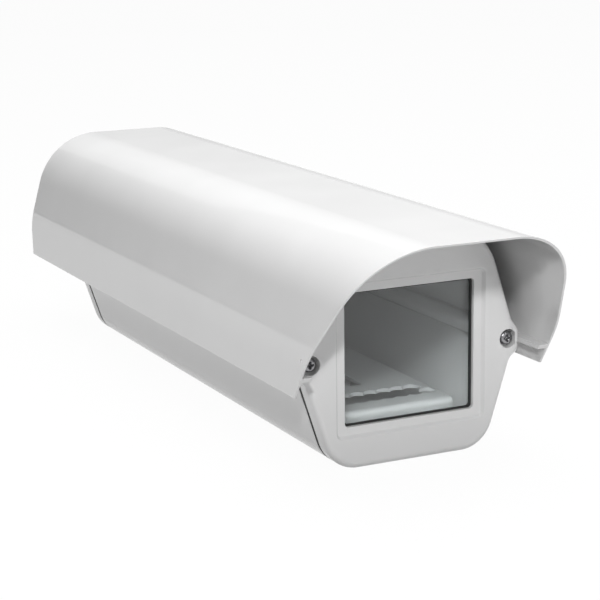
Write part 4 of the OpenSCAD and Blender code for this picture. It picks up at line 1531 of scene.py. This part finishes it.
@dataclass(frozen=True)
class CameraHousing:
    """Every piece of the object, built in order and seated on its body."""

    finishes: dict[Slot, bpy.types.Material]

    def seat(self, piece: bpy.types.Object, node: str, slot: Slot, body: Body = Body.HOUSING) -> None:
        """Seats a piece with the finish of its slot."""
        seat(piece, node, body, self.finishes[slot])

    def dress_kept(self, nodes: dict[str, bpy.types.Object]) -> None:
        """Gives each CAD node that stays in view its finish."""
        for name, slot in KEPT_NODES.items():
            item = nodes[name]
            item.data.materials.clear()
            item.data.materials.append(self.finishes[slot])
            LOG.info("node %s keeps its shape", name)

    def build(self, nodes: dict[str, bpy.types.Object]) -> None:
        """Builds all pieces.

        Args:
            nodes: the CAD nodes by name.
        """
        shape = Housing.from_frame()
        bezel = FrontBezel(shape)
        window = Window(bezel)
        self.seat(BodyShell(shape).build(), "body_shell", Slot.PAINT)
        self.seat(bezel.build(), "front_bezel", Slot.PAINT)
        self.seat(RearCap(shape).build(), "rear_cap", Slot.PAINT)
        self.seat(Sunshade.from_frame().build(), "sunshade", Slot.PAINT, Body.SUNSHADE)
        for node in ("front_gasket", "rear_gasket"):
            self.seat(Gasket(shape, node).build(), node, Slot.GASKET)
        self.seat(window.glass(), "window_glass", Slot.GLASS)
        self.seat(window.seal(), "window_seal", Slot.SEAL)
        for screws, washers, facing in (
                ("bezel_screws", "bezel_spring_washers", -1.0),
                ("rear_cap_screws", "rear_spring_washers", 1.0)):
            fasteners = EndFasteners(shape, screws, washers, facing)
            self.seat(fasteners.screws(), screws, Slot.STEEL)
            self.seat(fasteners.washers(), washers, Slot.STEEL)
        for side in ("left", "right"):
            gland = Gland(side)
            self.seat(gland.body(), f"gland_body_{side}", Slot.NYLON_BLACK)
            self.seat(gland.seal(), f"gland_seal_{side}", Slot.SEAL)
            self.seat(gland.cap_nut(), f"gland_cap_nut_{side}", Slot.NYLON_BLACK)
        entry = EntryParts()
        self.seat(entry.washers(), "gland_face_washers", Slot.SEAL)
        self.seat(entry.plug(), "blanking_plug", Slot.NYLON_BLACK)
        self.seat(CameraTray().build(), "camera_tray", Slot.ALUMINIUM)
        self.dress_kept(nodes)


# Studio


@dataclass(frozen=True)
class Lamp:
    """Rectangular area lamp that points at the housing."""

    name: str
    place: tuple[float, float, float]
    size: tuple[float, float]
    power: float
    aim: tuple[float, float, float] = (0.0, 0.0, 0.07)

    def build(self) -> None:
        """Adds the lamp to the scene."""
        data = bpy.data.lights.new(self.name, "AREA")
        data.shape = "RECTANGLE"
        data.size, data.size_y = self.size
        data.energy = self.power
        made = bpy.data.objects.new(self.name, data)
        made.location = self.place
        way = Vector(self.aim) - Vector(self.place)
        made.rotation_euler = way.to_track_quat("-Z", "Y").to_euler()
        bpy.context.scene.collection.objects.link(made)


LAMPS = (
    Lamp("key", (-0.741, -1.427, 0.913), (0.12, 0.12), 12.0, (0.0, -0.15, 0.07)),
    Lamp("overhead", (0.22, 0.0, 1.25), (1.2, 1.8), 27.0, (0.1, 0.0, 0.0)),
    Lamp("front", (0.6, -2.2, 0.7), (1.4, 1.0), 5.2),
    Lamp("back", (1.0, 2.4, 0.75), (2.6, 1.4), 3.4),
)


@dataclass(frozen=True)
class Studio:
    """Pale floor, soft lights and the camera at the photograph's angle."""

    floor_size: float = 12.0
    floor_bounce: float = 0.4
    floor_seen: float = 0.95
    floor_glow: float = 0.965
    mirrored_glow: float = 0.78
    world_light: float = 0.13
    camera_place: tuple[float, float, float] = (-0.46074, -0.99212, 0.30313)
    camera_yaw: float = math.radians(-25.93)
    camera_pitch: float = math.radians(12.934)
    camera_roll: float = math.radians(-0.767)
    lens: float = 108.79
    sensor: float = 36.0

    def floor(self) -> None:
        """Lays the floor, which the camera and reflections see as almost white."""
        piece = Piece()
        half = self.floor_size / 2.0
        corners = ((half, -half), (half, half), (-half, half), (-half, -half))
        piece.cap(piece.ring((x, y, 0.0) for x, y in corners))
        made = piece.finish("studio_floor")
        finish = bpy.data.materials.new("pale_floor")
        finish.use_nodes = True
        nodes = Shader(finish.node_tree)
        out = nodes.add("ShaderNodeOutputMaterial")
        matt = nodes.add("ShaderNodeBsdfPrincipled")
        matt.inputs["Roughness"].default_value = 0.2
        path = nodes.add("ShaderNodeLightPath")
        seen = nodes.add("ShaderNodeMath", operation="MAXIMUM")
        tone = nodes.add("ShaderNodeMix", data_type="RGBA")
        tone.inputs[6].default_value = (self.floor_bounce, self.floor_bounce, self.floor_bounce, 1.0)
        tone.inputs[7].default_value = (self.floor_seen, self.floor_seen, self.floor_seen, 1.0)
        glow = nodes.add("ShaderNodeEmission")
        glow.inputs["Strength"].default_value = 1.0
        direct_share = nodes.add("ShaderNodeMath", operation="MULTIPLY")
        direct_share.inputs[1].default_value = self.floor_glow
        share = nodes.add("ShaderNodeMath", operation="MULTIPLY_ADD")
        share.inputs[1].default_value = self.mirrored_glow
        mix = nodes.add("ShaderNodeMixShader")
        nodes.wire(
            (path, "Is Camera Ray", seen, 0), (path, "Is Glossy Ray", seen, 1),
            (seen, 0, tone, "Factor"), (path, "Is Camera Ray", direct_share, 0),
            (path, "Is Glossy Ray", share, 0), (direct_share, 0, share, 2),
            (tone, 2, matt, "Base Color"), (share, 0, mix, "Fac"), (matt, 0, mix, 1), (glow, 0, mix, 2),
            (mix, 0, out, "Surface"))
        made.data.materials.append(finish)

    def world(self) -> None:
        """Lights a little from all round, and shows white behind the object."""
        world = bpy.data.worlds.new("studio_world")
        bpy.context.scene.world = world
        world.use_nodes = True
        nodes = Shader(world.node_tree)
        out = nodes.add("ShaderNodeOutputWorld")
        light = nodes.add("ShaderNodeBackground")
        light.inputs["Color"].default_value = (1.0, 1.0, 1.0, 1.0)
        light.inputs["Strength"].default_value = self.world_light
        seen = nodes.add("ShaderNodeBackground")
        seen.inputs["Color"].default_value = (1.0, 1.0, 1.0, 1.0)
        path = nodes.add("ShaderNodeLightPath")
        direct = nodes.add("ShaderNodeMath", operation="MAXIMUM")
        mix = nodes.add("ShaderNodeMixShader")
        nodes.wire(
            (path, "Is Camera Ray", direct, 0), (path, "Is Transmission Ray", direct, 1),
            (direct, 0, mix, "Fac"), (light, 0, mix, 1), (seen, 0, mix, 2), (mix, 0, out, "Surface"))

    def camera(self) -> None:
        """Places the camera as it stood for the photograph."""
        yaw, pitch, roll = self.camera_yaw, self.camera_pitch, self.camera_roll
        back = Vector((math.sin(yaw) * math.cos(pitch), -math.cos(yaw) * math.cos(pitch), math.sin(pitch)))
        right = (-back).cross(Vector((0.0, 0.0, 1.0))).normalized()
        up = right.cross(-back)
        turned_right = right * math.cos(roll) + up * math.sin(roll)
        turned_up = up * math.cos(roll) - right * math.sin(roll)
        data = bpy.data.cameras.new("photo_camera")
        data.lens = self.lens
        data.sensor_width = self.sensor
        data.sensor_fit = "HORIZONTAL"
        data.clip_start = 0.01
        data.clip_end = 50.0
        made = bpy.data.objects.new("photo_camera", data)
        turn = Matrix((turned_right, turned_up, back)).transposed().to_4x4()
        made.matrix_world = Matrix.Translation(Vector(self.camera_place)) @ turn
        bpy.context.scene.collection.objects.link(made)
        bpy.context.scene.camera = made

    def build(self) -> None:
        """Sets up the whole studio."""
        self.camera()
        self.floor()
        self.world()
        for lamp in LAMPS:
            lamp.build()
        bpy.context.scene.view_settings.view_transform = "Standard"


def main() -> None:
    """Loads the frame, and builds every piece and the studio."""
    logging.basicConfig(level=logging.INFO, format="%(name)s: %(message)s")
    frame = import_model()
    Studio().build()
    groups = Groups(grain_group(), blend_group())
    finishes = {slot: finish.build(groups) for slot, finish in FINISHES.items()}
    CameraHousing(finishes).build(frame["nodes"])


if __name__ == "__main__":
    main()
